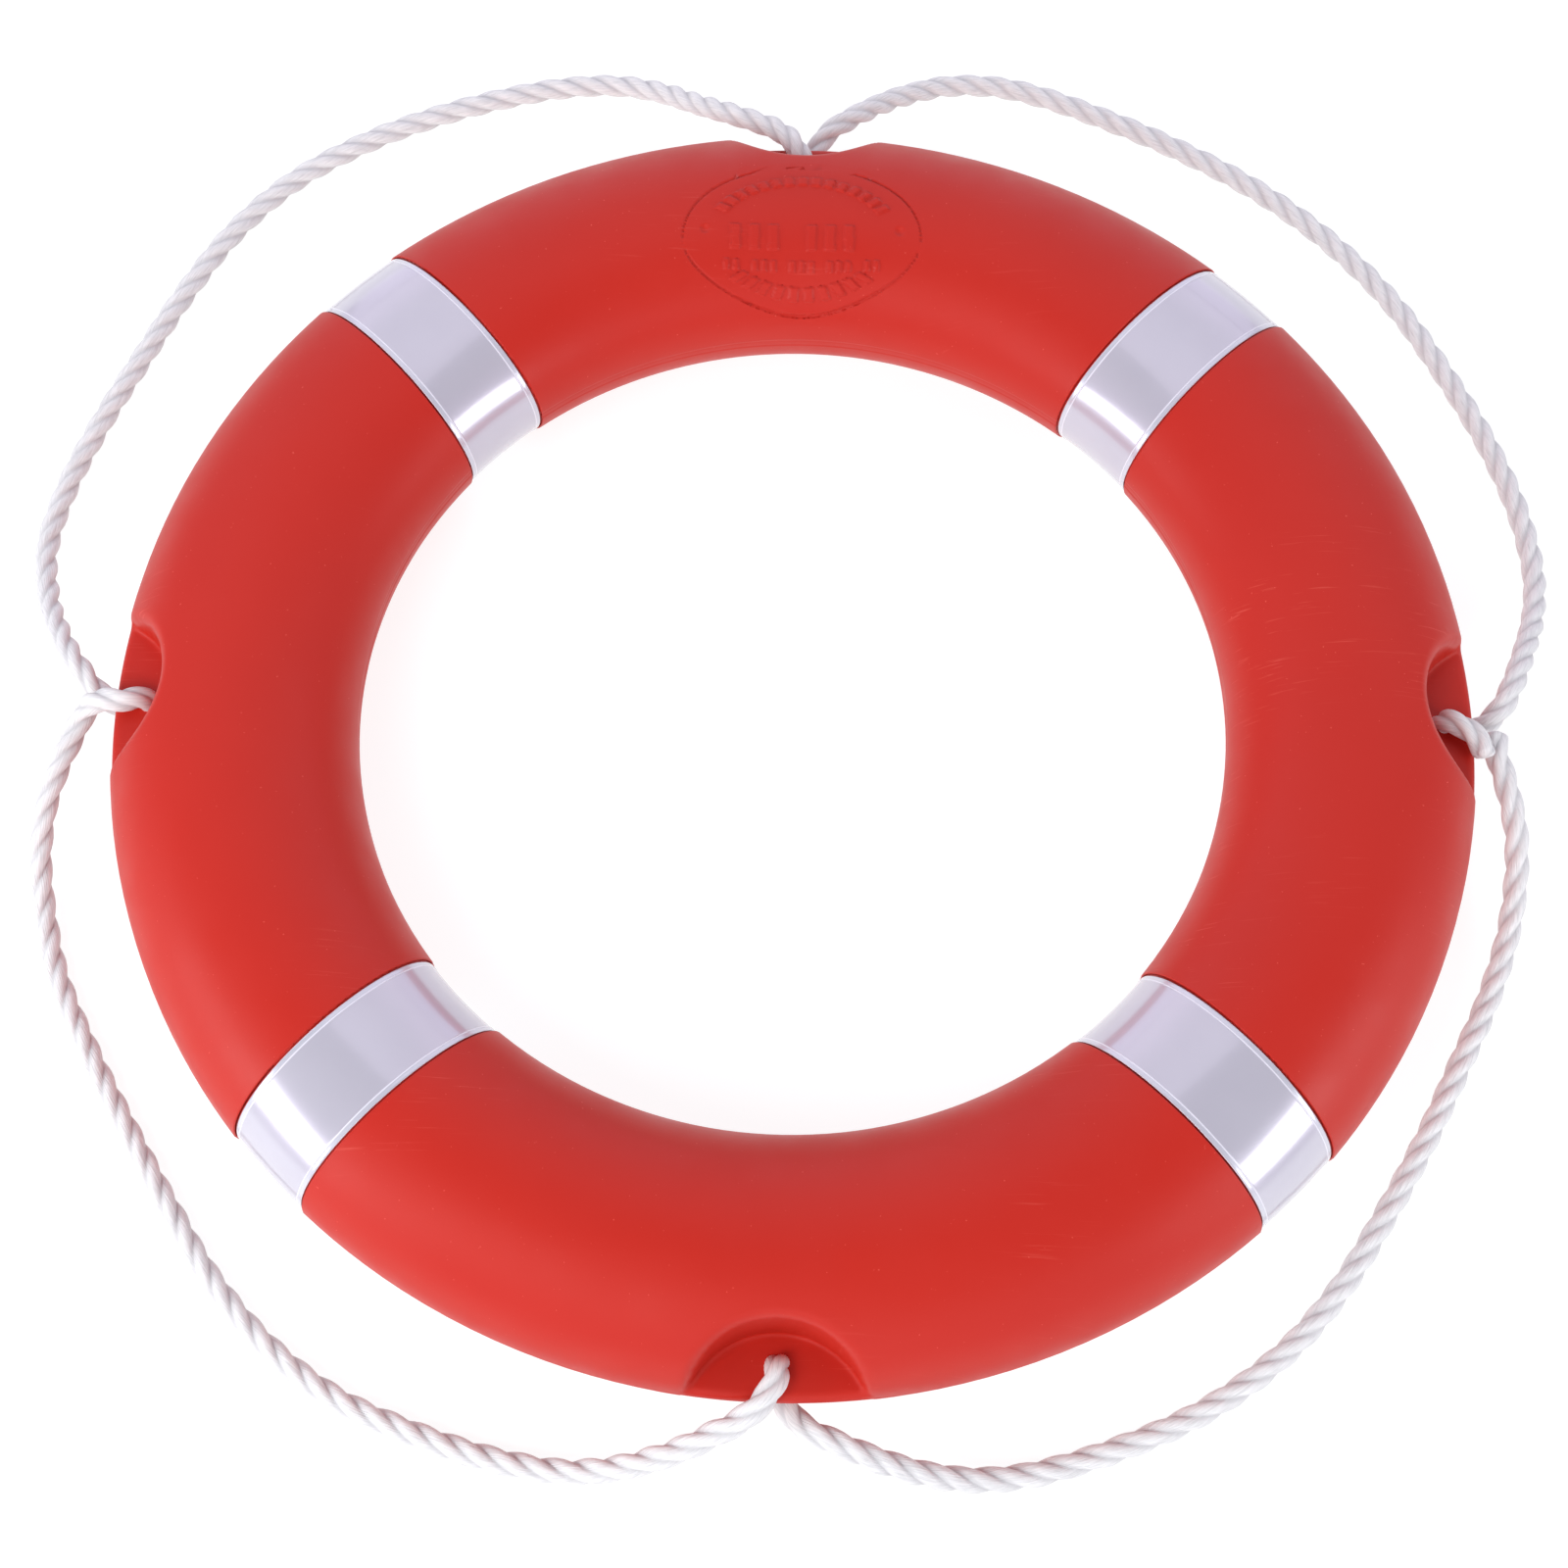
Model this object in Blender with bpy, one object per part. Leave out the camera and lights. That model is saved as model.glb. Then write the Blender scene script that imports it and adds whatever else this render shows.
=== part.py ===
"""Ring lifebuoy: a foam-filled plastic shell, four reflective bands and a becketed grab line.

Metres, +Z up. The ring lies on its back on z = 0 with its axis on Z. The four rope anchors are on the
+X, +Y, -X and -Y sides, and the reflective bands are half way between them.
"""

import math

import bmesh
import bpy
from mathutils import Matrix, Vector

# Ring body
OUTER_RADIUS = 0.360
INNER_RADIUS = 0.230
THICKNESS = 0.102
WALL = 0.0026
FOAM_GAP = 0.0003
TUBE_RADIUS = (OUTER_RADIUS + INNER_RADIUS) / 2
HALF_WIDTH = (OUTER_RADIUS - INNER_RADIUS) / 2
HALF_THICKNESS = THICKNESS / 2
MIDDLE = THICKNESS / 2

# How finely the ring is faceted
SECTION_SIDES = 24
STEPS_BETWEEN_BANDS = 10
CUTTER_SIDES = 48
HOLE_SIDES = 24

# Rope anchors: a scallop in the front and in the back leaves a solid web with a hole
ANCHORS = 4
QUARTER = 90
SCALLOP_RADIUS = 0.045
SCALLOP_CENTRE = 0.374
WEB_THICKNESS = 0.008
HOLE_RADIUS = 0.0076
HOLE_CENTRE = 0.3429

# Reflective bands, wrapped round the tube in shallow grooves
BAND_AZIMUTHS = (45, 135, 225, 315)
BAND_NAMES = ("back_right", "back_left", "front_left", "front_right")
BAND_WIDTH = 0.050
BAND_THICKNESS = 0.0005
BAND_DEPTH = 0.0004
GROOVE_DEPTH = 0.0012
GROOVE_SIDE_GAP = 0.0005

# Plugs in the outer wall, where the foam went in and the air came out
FILLER_AZIMUTH = 112
VENT_AZIMUTH = 68
FILLER_SHANK_RADIUS = 0.0065
FILLER_FLANGE_RADIUS = 0.009
VENT_SHANK_RADIUS = 0.004
VENT_FLANGE_RADIUS = 0.007
PLUG_FLANGE_THICKNESS = 0.0015
PLUG_PROUD = 0.0008
PLUG_LENGTH = 0.008
PLUG_GAP = 0.0003
SEAT_DEPTH = PLUG_FLANGE_THICKNESS - PLUG_PROUD + PLUG_GAP

# Grab line: one rope, from its melted end at the right anchor counterclockwise to its spliced end there
ROPE_RADIUS = 0.0065
ROPE_STEP = 0.0045
SPAN_STEP = 0.027
END_GAP = 0.0006
END_STEP = 0.0012
JOINT_TAPER = 0.0085
JOINT_TIP = 0.04
CURVE_SAMPLES = 16
ROPE_BEVEL_RESOLUTION = 2
MILLIMETRES = 1000
ANCHOR_NAMES = ("right", "back", "left", "front")
SPAN_NAMES = ("back_right", "back_left", "front_left", "front_right")

# The turns through the webs. A point is millimetres out from the ring's axis, millimetres on round the
# ring and height in millimetres. The free spans start and end at the turns' last and first points.
TURN_ROUTES = {
    "right": [
        (362.5, -22.5, 61.4), (361.6, -17, 62), (358.6, -11.5, 62.6), (353.5, -6.3, 62.9),
        (347.5, -2.2, 61.6), (343.6, -0.2, 57), (342.9, 0, 51), (343.6, 0.1, 45), (347.5, 0.5, 40.6),
        (354, 1, 38.4), (361, 2.2, 38.3), (367.6, 4.8, 39.3), (373.2, 8.8, 40.8), (378, 14, 42.2),
        (382, 20.2, 43),
    ],
    "back": [
        (383, -18, 43.8), (378, -12.4, 42.8), (371.8, -8, 41.2), (364.4, -4.8, 39.2), (356, -2.2, 38.3),
        (348.5, -0.8, 40), (343.8, -0.2, 45), (342.9, 0, 51), (343.6, 0.3, 57), (347.3, 1.6, 61.6),
        (353.2, 4.4, 62.8), (360.4, 8.6, 62.3), (368, 14.8, 59.3), (374.6, 21.8, 55.6), (379, 28.5, 53),
    ],
    "left": [
        (382.2, -19.8, 43.4), (377.4, -13.6, 42.6), (371.4, -8.6, 41), (364.4, -5, 39.2), (356, -2.2, 38.3),
        (348.5, -0.8, 40), (343.8, -0.2, 45), (342.9, 0, 51), (343.6, 0.6, 57), (347.6, 2.2, 61.6),
        (354.5, 3.6, 63), (362.5, 3.2, 62), (369.5, 3, 58.4), (374.6, 4.8, 53.6), (378.6, 10, 49.6),
        (382, 17, 47),
    ],
    "front": [
        (373.8, -26.5, 51.8), (371, -19.6, 55.4), (366.5, -12.4, 59.6), (360.4, -6, 62.4),
        (353.5, -1.6, 62.9), (347.3, -0.1, 61.6), (343.6, 0, 57), (342.9, 0, 51), (343.8, 0.2, 45),
        (348.5, 0.8, 40), (355, 2.8, 38.3), (361.6, 6, 38.6), (367, 10.2, 39.9), (370.8, 15, 41.5),
        (373.4, 20.2, 42.6),
    ],
}
SPLICE_ROUTE = [(375.5, -26, 47), (373.4, -19.5, 48.4), (372.2, -13, 49.8), (372, -7, 51), (372.4, -2.5, 51.8)]

# The free spans between the turns, lying on z = 0. A point is degrees on from the first anchor, radius in
# millimetres and height in millimetres.
SPAN_ROUTES = {
    "back_right": [
        (5.7, 393, 37.6), (8.4, 404, 28), (11.2, 416, 17), (15, 428, 9),
        (20, 436, 6.6), (26, 441, 6.6), (33, 446, 6.6), (40, 453, 6.6), (47, 457, 6.6),
        (54, 458, 6.6), (61, 457, 6.6), (67, 457, 6.6), (72, 458, 6.6), (75.5, 456, 7.5),
        (79, 446, 12), (81.8, 428.5, 21.5), (84, 410, 32.5), (85.8, 394.5, 40.4),
    ],
    "back_left": [
        (5.7, 387.5, 49.2), (7.4, 398.5, 42), (9.3, 415, 29.5), (11.5, 435, 16.5), (14.5, 452, 8),
        (18, 460, 6.6), (22, 465, 6.6), (28, 471, 6.6), (34, 476, 6.6), (40, 478, 6.6),
        (46, 473, 6.6), (52, 463, 6.6), (58, 454, 6.6), (64, 449, 6.6), (70, 445, 7),
        (75, 438, 10), (79.5, 422, 20), (82.5, 407.5, 31), (85.1, 394, 39.6),
    ],
    "front_left": [
        (4.8, 390.5, 42), (7.8, 400, 33), (11.2, 407, 20), (15, 410, 9),
        (20, 410, 6.6), (27, 406, 6.6), (34, 405, 6.6), (40, 408, 6.6), (46, 414, 6.6),
        (52, 418, 6.6), (58, 418, 6.6), (64, 413, 6.6), (70, 408, 7), (75, 403, 12),
        (78.6, 396.5, 23), (81.4, 389.5, 34), (83.8, 382.3, 44),
    ],
    "front_right": [
        (5.2, 380.6, 40.4), (7.4, 387, 34.6), (10.2, 394.2, 25.5), (13.9, 401, 14),
        (18, 405, 7), (24, 408, 6.6), (31, 411, 6.6), (38, 410, 6.6), (44, 405, 6.6),
        (50, 398, 6.6), (57, 393, 6.6), (64, 391, 6.6), (70, 393, 7), (75, 393.5, 13),
        (79, 390.5, 26), (82, 386, 36.5), (84.3, 380.6, 43.4),
    ],
}

# Colours, linear
SHELL_RED = (0.60, 0.032, 0.022, 1)
FOAM_CREAM = (0.72, 0.60, 0.38, 1)
BAND_SILVER = (0.62, 0.60, 0.70, 1)
ROPE_WHITE = (0.86, 0.84, 0.85, 1)


def clear_scene():
    for obj in list(bpy.data.objects):
        bpy.data.objects.remove(obj, do_unlink=True)


def make_material(name, colour, roughness, metallic=0.0):
    material = bpy.data.materials.new(name)
    material.use_nodes = True
    material.diffuse_color = colour
    shader = material.node_tree.nodes["Principled BSDF"]
    shader.inputs["Base Color"].default_value = colour
    shader.inputs["Roughness"].default_value = roughness
    shader.inputs["Metallic"].default_value = metallic
    return material


def add_object(name, data, material=None):
    obj = bpy.data.objects.new(name, data)
    bpy.context.scene.collection.objects.link(obj)
    if material:
        data.materials.append(material)
    return obj


def mesh_object(name, shape, material=None):
    """Turns a bmesh into an object whose faces point out and whose round faces are smooth."""
    bmesh.ops.recalc_face_normals(shape, faces=shape.faces)
    bmesh.ops.triangulate(shape, faces=shape.faces)
    mesh = bpy.data.meshes.new(name)
    shape.to_mesh(mesh)
    shape.free()
    mesh.shade_smooth()
    mesh.set_sharp_from_angle(angle=math.radians(35))
    return add_object(name, mesh, material)


def hide_cutter(obj):
    obj.hide_render = True
    obj.display_type = "WIRE"


def cut(target, cutter):
    modifier = target.modifiers.new("cut_" + cutter.name, "BOOLEAN")
    modifier.operation = "DIFFERENCE"
    modifier.solver = "EXACT"
    modifier.object = cutter


def polar(azimuth_degrees, radius, height):
    azimuth = math.radians(azimuth_degrees)
    return Vector((radius * math.cos(azimuth), radius * math.sin(azimuth), height))


def section(inset):
    """The tube's section as (radius, height) points: an ellipse, faceted so that its sides touch it.

    One side faces straight down and one straight up, so the ring rests on a narrow flat land.
    """
    reach = 1 / math.cos(math.pi / SECTION_SIDES)
    points = []
    for side in range(SECTION_SIDES):
        angle = 2 * math.pi * (side + 0.5) / SECTION_SIDES
        radius = TUBE_RADIUS + (HALF_WIDTH - inset) * reach * math.cos(angle)
        height = MIDDLE + (HALF_THICKNESS - inset) * reach * math.sin(angle)
        points.append((radius, height))
    return points


def parallel_station(band_azimuth, offset, inset):
    """One loop of the tube in a plane parallel to a band's middle plane, at an offset along the ring."""
    loop = []
    for radius, height in section(inset):
        azimuth = band_azimuth + math.degrees(math.asin(offset / radius))
        loop.append(polar(azimuth, radius, height))
    return loop


def blended_station(band_azimuth, fraction, inset):
    """A loop part of the way from one groove's far edge to the next groove's near edge."""
    edge = BAND_WIDTH / 2 + GROOVE_SIDE_GAP
    loop = []
    for radius, height in section(inset):
        start = math.degrees(math.asin(edge / radius))
        azimuth = band_azimuth + start + fraction * (QUARTER - 2 * start)
        loop.append(polar(azimuth, radius, height))
    return loop


def loft(loops):
    """Skins closed loops of equal length one to the next, and the last back to the first."""
    shape = bmesh.new()
    rings = [[shape.verts.new(point) for point in loop] for loop in loops]
    for ring, following in zip(rings, rings[1:] + rings[:1]):
        for index in range(len(ring)):
            after = (index + 1) % len(ring)
            shape.faces.new((ring[index], ring[after], following[after], following[index]))
    return shape


def ring_shape(inset, grooved):
    """The whole tube, with a recess at each band where grooved."""
    edge = BAND_WIDTH / 2 + GROOVE_SIDE_GAP
    loops = []
    for azimuth in BAND_AZIMUTHS:
        if grooved:
            loops.append(parallel_station(azimuth, -edge, inset))
            loops.append(parallel_station(azimuth, -edge, inset + GROOVE_DEPTH))
            loops.append(parallel_station(azimuth, edge, inset + GROOVE_DEPTH))
            loops.append(parallel_station(azimuth, edge, inset))
        else:
            loops.append(parallel_station(azimuth, -edge, inset))
            loops.append(parallel_station(azimuth, edge, inset))
        for step in range(1, STEPS_BETWEEN_BANDS):
            loops.append(blended_station(azimuth, step / STEPS_BETWEEN_BANDS, inset))
    return loft(loops)


def cylinder(name, radius, start, end, sides):
    """A hidden cutter: a cylinder whose axis runs from start to end."""
    axis = end - start
    shape = bmesh.new()
    place = Matrix.Translation((start + end) / 2) @ axis.to_track_quat("Z", "Y").to_matrix().to_4x4()
    bmesh.ops.create_cone(
        shape, cap_ends=True, segments=sides, radius1=radius, radius2=radius, depth=axis.length, matrix=place
    )
    cutter = mesh_object(name, shape)
    hide_cutter(cutter)
    return cutter


def anchor_cylinder(name, anchor, centre, radius, low, high, sides):
    azimuth = anchor * QUARTER
    return cylinder(name, radius, polar(azimuth, centre, low), polar(azimuth, centre, high), sides)


def hollow(name, inset):
    """The space inside the wall: the inset tube without the solid webs and the walls round the scallops."""
    space = mesh_object(name, ring_shape(inset, grooved=False))
    for anchor in range(ANCHORS):
        block = anchor_cylinder(
            f"{name}_block_{ANCHOR_NAMES[anchor]}", anchor, SCALLOP_CENTRE, SCALLOP_RADIUS + inset,
            -THICKNESS, 2 * THICKNESS, CUTTER_SIDES,
        )
        cut(space, block)
    return space


def radial_cylinder(name, azimuth, radius, near, far):
    """A hidden cutter through the outer wall, between two distances out from its surface."""
    start = polar(azimuth, OUTER_RADIUS + near, MIDDLE)
    return cylinder(name, radius, start, polar(azimuth, OUTER_RADIUS + far, MIDDLE), HOLE_SIDES)


def make_shell(material):
    shell = mesh_object("shell", ring_shape(0, grooved=True), material)
    cavity = hollow("shell_cavity", WALL)
    hide_cutter(cavity)
    cut(shell, cavity)
    for anchor in range(ANCHORS):
        name = ANCHOR_NAMES[anchor]
        web_top = MIDDLE + WEB_THICKNESS / 2
        web_base = MIDDLE - WEB_THICKNESS / 2
        for side, low, high in (("face", web_top, 2 * THICKNESS), ("rear", -THICKNESS, web_base)):
            scallop = anchor_cylinder(
                f"scallop_{side}_{name}", anchor, SCALLOP_CENTRE, SCALLOP_RADIUS, low, high, CUTTER_SIDES
            )
            cut(shell, scallop)
        hole = anchor_cylinder(
            f"rope_hole_{name}", anchor, HOLE_CENTRE, HOLE_RADIUS,
            web_base - WEB_THICKNESS, web_top + WEB_THICKNESS, HOLE_SIDES,
        )
        cut(shell, hole)
    for name, azimuth, shank, flange in plug_sizes():
        seat = radial_cylinder(name + "_seat", azimuth, flange + PLUG_GAP, -SEAT_DEPTH, 2 * SEAT_DEPTH)
        cut(shell, seat)
        hole = radial_cylinder(name + "_hole", azimuth, shank + PLUG_GAP, -2 * WALL, WALL)
        cut(shell, hole)


def make_foam(material):
    foam = hollow("foam_core", WALL + FOAM_GAP)
    foam.data.materials.append(material)
    for name, azimuth, shank, _ in plug_sizes():
        pocket = radial_cylinder(
            name + "_pocket", azimuth, shank + PLUG_GAP, PLUG_PROUD - PLUG_LENGTH - PLUG_GAP, WALL
        )
        cut(foam, pocket)


def plug_sizes():
    return (
        ("filler_plug", FILLER_AZIMUTH, FILLER_SHANK_RADIUS, FILLER_FLANGE_RADIUS),
        ("vent_plug", VENT_AZIMUTH, VENT_SHANK_RADIUS, VENT_FLANGE_RADIUS),
    )


def make_plug(name, azimuth, shank, flange, material):
    """A turned plug along its own -Z: a thin flange at the top and a shank below it."""
    profile = (
        (flange, 0), (flange, -PLUG_FLANGE_THICKNESS), (shank, -PLUG_FLANGE_THICKNESS), (shank, -PLUG_LENGTH),
    )
    shape = bmesh.new()
    rings = []
    for radius, height in profile:
        ring = []
        for side in range(HOLE_SIDES):
            angle = 2 * math.pi * side / HOLE_SIDES
            ring.append(shape.verts.new((radius * math.cos(angle), radius * math.sin(angle), height)))
        rings.append(ring)
    for ring, following in zip(rings, rings[1:]):
        for index in range(HOLE_SIDES):
            after = (index + 1) % HOLE_SIDES
            shape.faces.new((ring[index], ring[after], following[after], following[index]))
    shape.faces.new(rings[0])
    shape.faces.new(rings[-1])
    plug = mesh_object(name, shape, material)
    plug.location = polar(azimuth, OUTER_RADIUS + PLUG_PROUD, MIDDLE)
    plug.rotation_euler = polar(azimuth, 1, 0).to_track_quat("Z", "Y").to_euler()


def make_band(name, azimuth, material):
    """A flat film wrapped once round the tube, with straight parallel edges."""
    half = BAND_WIDTH / 2
    top = BAND_DEPTH
    underside = BAND_DEPTH + BAND_THICKNESS
    loops = [
        parallel_station(azimuth, -half, top),
        parallel_station(azimuth, half, top),
        parallel_station(azimuth, half, underside),
        parallel_station(azimuth, -half, underside),
    ]
    mesh_object(name, loft(loops), material)


def rope_object(name, points, widths, material):
    """A round tube along the points, which are measured from the object's own origin.

    A width of 1 is the whole rope.
    """
    curve = bpy.data.curves.new(name, "CURVE")
    curve.dimensions = "3D"
    curve.bevel_depth = ROPE_RADIUS
    curve.bevel_resolution = ROPE_BEVEL_RESOLUTION
    curve.use_fill_caps = True
    spline = curve.splines.new("POLY")
    spline.points.add(len(points) - 1)
    for target, point, width in zip(spline.points, points, widths):
        target.co = (*point, 1)
        target.radius = width
    return add_object(name, curve, material)


def smooth_curve(points):
    """A centripetal Catmull-Rom curve through the points, sampled finely."""
    first = 2 * points[0] - points[1]
    last = 2 * points[-1] - points[-2]
    controls = [first, *points, last]
    samples = []
    for index in range(len(controls) - 3):
        a, b, c, d = controls[index:index + 4]
        time_b = (b - a).length ** 0.5
        time_c = time_b + (c - b).length ** 0.5
        time_d = time_c + (d - c).length ** 0.5
        for step in range(CURVE_SAMPLES):
            time = time_b + (time_c - time_b) * step / CURVE_SAMPLES
            ab = a.lerp(b, time / time_b)
            bc = b.lerp(c, (time - time_b) / (time_c - time_b))
            cd = c.lerp(d, (time - time_c) / (time_d - time_c))
            abc = ab.lerp(bc, time / time_c)
            bcd = bc.lerp(cd, (time - time_b) / (time_d - time_b))
            samples.append(abc.lerp(bcd, (time - time_b) / (time_c - time_b)))
    samples.append(points[-1])
    return samples


def evenly_spaced(samples, spacing, jointed):
    """Points at about this spacing along a finely sampled curve, short of both of its ends by END_GAP.

    With them go the rope's widths. A jointed end tapers to a point on its hinge, so that a free span swings
    clear of its neighbours. At an end that isn't jointed, a short step turns the end face square to the curve.
    """
    reached = [0.0]
    for before, after in zip(samples, samples[1:]):
        reached.append(reached[-1] + (after - before).length)
    first_step, last_step = (JOINT_TAPER if joint else END_STEP for joint in jointed)
    low = END_GAP + first_step
    high = reached[-1] - END_GAP - last_step
    steps = round((high - low) / spacing)
    distances = [low + (high - low) * step / steps for step in range(steps + 1)]
    distances = [END_GAP, *distances, reached[-1] - END_GAP]
    first_width, last_width = (JOINT_TIP if joint else 1 for joint in jointed)
    widths = [first_width, *[1] * (steps + 1), last_width]
    points = []
    index = 0
    for distance in distances:
        while index < len(samples) - 2 and reached[index + 1] < distance:
            index += 1
        part = (distance - reached[index]) / (reached[index + 1] - reached[index])
        points.append(samples[index].lerp(samples[index + 1], part))
    return points, widths


def turn_points(anchor, route):
    """Points of a turn or the splice, turned round to their anchor."""
    place = Matrix.Rotation(math.radians(anchor * QUARTER), 3, "Z")
    return [place @ Vector(point) / MILLIMETRES for point in route]


def line_route():
    """The whole grab line's route, and the numbers of each piece's first and last points on it."""
    route = []
    pieces = {}
    for anchor, span in enumerate(SPAN_NAMES):
        first = len(route)
        route += turn_points(anchor, TURN_ROUTES[ANCHOR_NAMES[anchor]])
        last = len(route) - 1
        pieces["rope_turn_" + ANCHOR_NAMES[anchor]] = (first, last)
        for degrees, radius, height in SPAN_ROUTES[span]:
            point = polar(anchor * QUARTER + degrees, radius / MILLIMETRES, height / MILLIMETRES)
            route.append(point)
        pieces["rope_span_" + span] = (last, len(route))
    first = len(route)
    route += turn_points(0, SPLICE_ROUTE)
    pieces["rope_splice_right"] = (first, len(route) - 1)
    return route, pieces


def make_grab_line(material):
    """Every piece of the grab line. They meet at points on one smooth curve, which lies on z = 0.

    A free span's empty sits on the straight line between its two ends, about which the span swings.
    """
    route, pieces = line_route()
    samples = smooth_curve(route)
    for sample in samples:
        sample.z = max(sample.z, ROPE_RADIUS)
    for name, (first, last) in pieces.items():
        own = samples[first * CURVE_SAMPLES:last * CURVE_SAMPLES + 1]
        if name.startswith("rope_span_"):
            pivot = bpy.data.objects.new(name.replace("span", "span_pivot"), None)
            bpy.context.scene.collection.objects.link(pivot)
            pivot.location = (own[0] + own[-1]) / 2
            points, widths = evenly_spaced(own, SPAN_STEP, (True, True))
            points = [point - pivot.location for point in points]
            rope_object(name, points, widths, material).parent = pivot
        else:
            jointed = (name != "rope_turn_right", name != "rope_splice_right")
            points, widths = evenly_spaced(own, ROPE_STEP, jointed)
            rope_object(name, points, widths, material)


def main():
    clear_scene()
    red_plastic = make_material("shell_red", SHELL_RED, 0.42)
    foam = make_material("foam", FOAM_CREAM, 0.9)
    film = make_material("reflective_film", BAND_SILVER, 0.25, 0.6)
    rope = make_material("rope_white", ROPE_WHITE, 0.5)
    make_shell(red_plastic)
    make_foam(foam)
    for name, azimuth, shank, flange in plug_sizes():
        make_plug(name, azimuth, shank, flange, red_plastic)
    for name, azimuth in zip(BAND_NAMES, BAND_AZIMUTHS):
        make_band("reflective_band_" + name, azimuth, film)
    make_grab_line(rope)


main()
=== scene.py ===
"""The ring lifebuoy's finished looks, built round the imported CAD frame.

Metres, +Z up, in the frame's own axes: the ring lies on z = 0 with its axis on Z, and the grab line's four
anchors are on +X, +Y, -X and -Y. The moulding is the zero surface of one distance function, which a grid is
drawn onto. The rope is a lobed section swept along the whole grab line, on which the CAD's rope nodes lie.
"""

import math

import bmesh
import bpy
import numpy as np
from mathutils import Matrix, Vector


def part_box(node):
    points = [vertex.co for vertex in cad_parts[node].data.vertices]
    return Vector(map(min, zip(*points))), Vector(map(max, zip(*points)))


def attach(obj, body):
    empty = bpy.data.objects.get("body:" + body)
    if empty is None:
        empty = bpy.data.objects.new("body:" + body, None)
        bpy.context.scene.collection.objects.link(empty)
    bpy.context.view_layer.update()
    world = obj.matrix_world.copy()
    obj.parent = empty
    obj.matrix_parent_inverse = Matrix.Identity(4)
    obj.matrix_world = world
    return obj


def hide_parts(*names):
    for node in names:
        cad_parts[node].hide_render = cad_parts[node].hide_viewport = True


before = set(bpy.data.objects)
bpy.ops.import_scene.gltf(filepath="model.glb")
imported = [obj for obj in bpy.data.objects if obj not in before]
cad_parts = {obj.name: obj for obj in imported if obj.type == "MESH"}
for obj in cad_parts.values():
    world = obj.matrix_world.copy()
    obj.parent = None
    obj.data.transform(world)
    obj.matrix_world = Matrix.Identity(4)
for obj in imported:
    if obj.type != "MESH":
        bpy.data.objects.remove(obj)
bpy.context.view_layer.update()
shell_low, shell_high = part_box("shell")

# Ring body
OUTER_RADIUS = shell_high.x
INNER_RADIUS = 0.230
THICKNESS = shell_high.z - shell_low.z
MIDDLE = (shell_high.z + shell_low.z) / 2
TUBE_RADIUS = (OUTER_RADIUS + INNER_RADIUS) / 2
HALF_WIDTH = (OUTER_RADIUS - INNER_RADIUS) / 2
HALF_THICKNESS = THICKNESS / 2

# Rope anchors
QUARTER = 90
SCALLOP_CENTRE = 0.374
SCALLOP_FLOOR_RADIUS = 0.0465
SCALLOP_DRAFT = 0.012
WEB_HALF = 0.004
FLOOR_FILLET = 0.0020
LIP_RADIUS = 0.0040
HOLE_CENTRE = 0.3429
ANCHOR_ZONE = 9.5

# Reflective bands, in shallow grooves half way between the anchors
BAND_AZIMUTHS = {"back_right": 45, "back_left": 135, "front_left": 225, "front_right": 315}
BAND_HALF = 0.025
GROOVE_HALF = 0.0258
GROOVE_RAMP = 0.0007
GROOVE_DEPTH = 0.0012
SLIT_MIDDLE = 0.0254
SLIT_HALF = 0.0004
SLIT_DEPTH = 0.0013
SLIT_SHARPNESS = 1.6

# Mould parting lines: one thin raised line round the outside, and a double line with a low land inside
OUTER_SEAM_HEIGHT = 0.00022
OUTER_SEAM_HALF = 0.0007
INNER_SEAM_DEPTH = 0.00030
INNER_SEAM_AWAY = 0.0021
INNER_SEAM_HALF = 0.0008
INNER_LAND_DEPTH = 0.00020

# The moulded badge on the back of the ring's face: an engraved oval round plain raised bars. A straight
# row is its number, height, half length, pitch, half width and count of bars. An arc is its middle and its
# pitch in degrees, and its count of bars. A row leaves a gap after every few bars.
BADGE_CENTRE = 0.2666
BADGE_HALF_WIDTH = 0.066
BADGE_OUTWARD = 0.0469
BADGE_INWARD = 0.0316
BADGE_MARGIN = 1.1
BADGE_LINE = 0.00060
BADGE_LINE_DEPTH = 0.00120
BADGE_LINE_SHOULDER = 1.4
BADGE_DIMPLE_REACH = 0.054
BADGE_DIMPLE_ALONG = 0.0055
BADGE_DIMPLE_RADIUS = 0.0024
BADGE_DIMPLE_DEPTH = 0.0011
BADGE_DIMPLE_SHOULDER = 1.3
BADGE_RELIEF = 0.00120
BADGE_EDGE = 0.0004
BADGE_ROWS = ((0, 0.0020, 0.0066, 0.0105, 0.0026, 8), (1, -0.0125, 0.0026, 0.0052, 0.0014, 17))
BADGE_GAP_EVERY = 4
BADGE_ARCS = ((0, 8.5, 15), (180, 9.5, 10))
BADGE_ARC_LEVEL = (0.70 + 0.84) / 2
BADGE_ARC_WIDTH_SHARE = 0.8
BADGE_ARC_DEPTH_SHARE = 1.15
BADGE_ARC_BAR = (0.0019, 0.0031)

# How the moulding's grid is drawn: u is degrees round the ring, v runs from the inner equator over the
# face to the outer one as 0 to 1, and back under the ring as 1 to 2.
COLUMN_STEP = 1.8
BAND_COLUMNS = (0.0, 0.010, 0.018, 0.0235, 0.0248)
SLIT_COLUMNS = (-1, -0.7, -0.4, 0, 0.4, 0.7, 1)
RAMP_COLUMNS = (0.3, 0.6, 0.8, 1.0, 1.5, 2.5)
ROWS_PER_SIDE = 38
EQUATOR_ROWS = (0.0005, 0.0010, 0.0015, 0.0021, 0.0027, 0.0034)
SIDE_LENGTH = 0.183
PROFILE_SAMPLES = 1400
STRAIGHT_BAND = 6.0
BLENDED_BAND = 30.0
KEY_PLACES = 6
ANCHOR_CUTS = 2
ANCHOR_ZONE_MARGIN = 0.6
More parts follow.
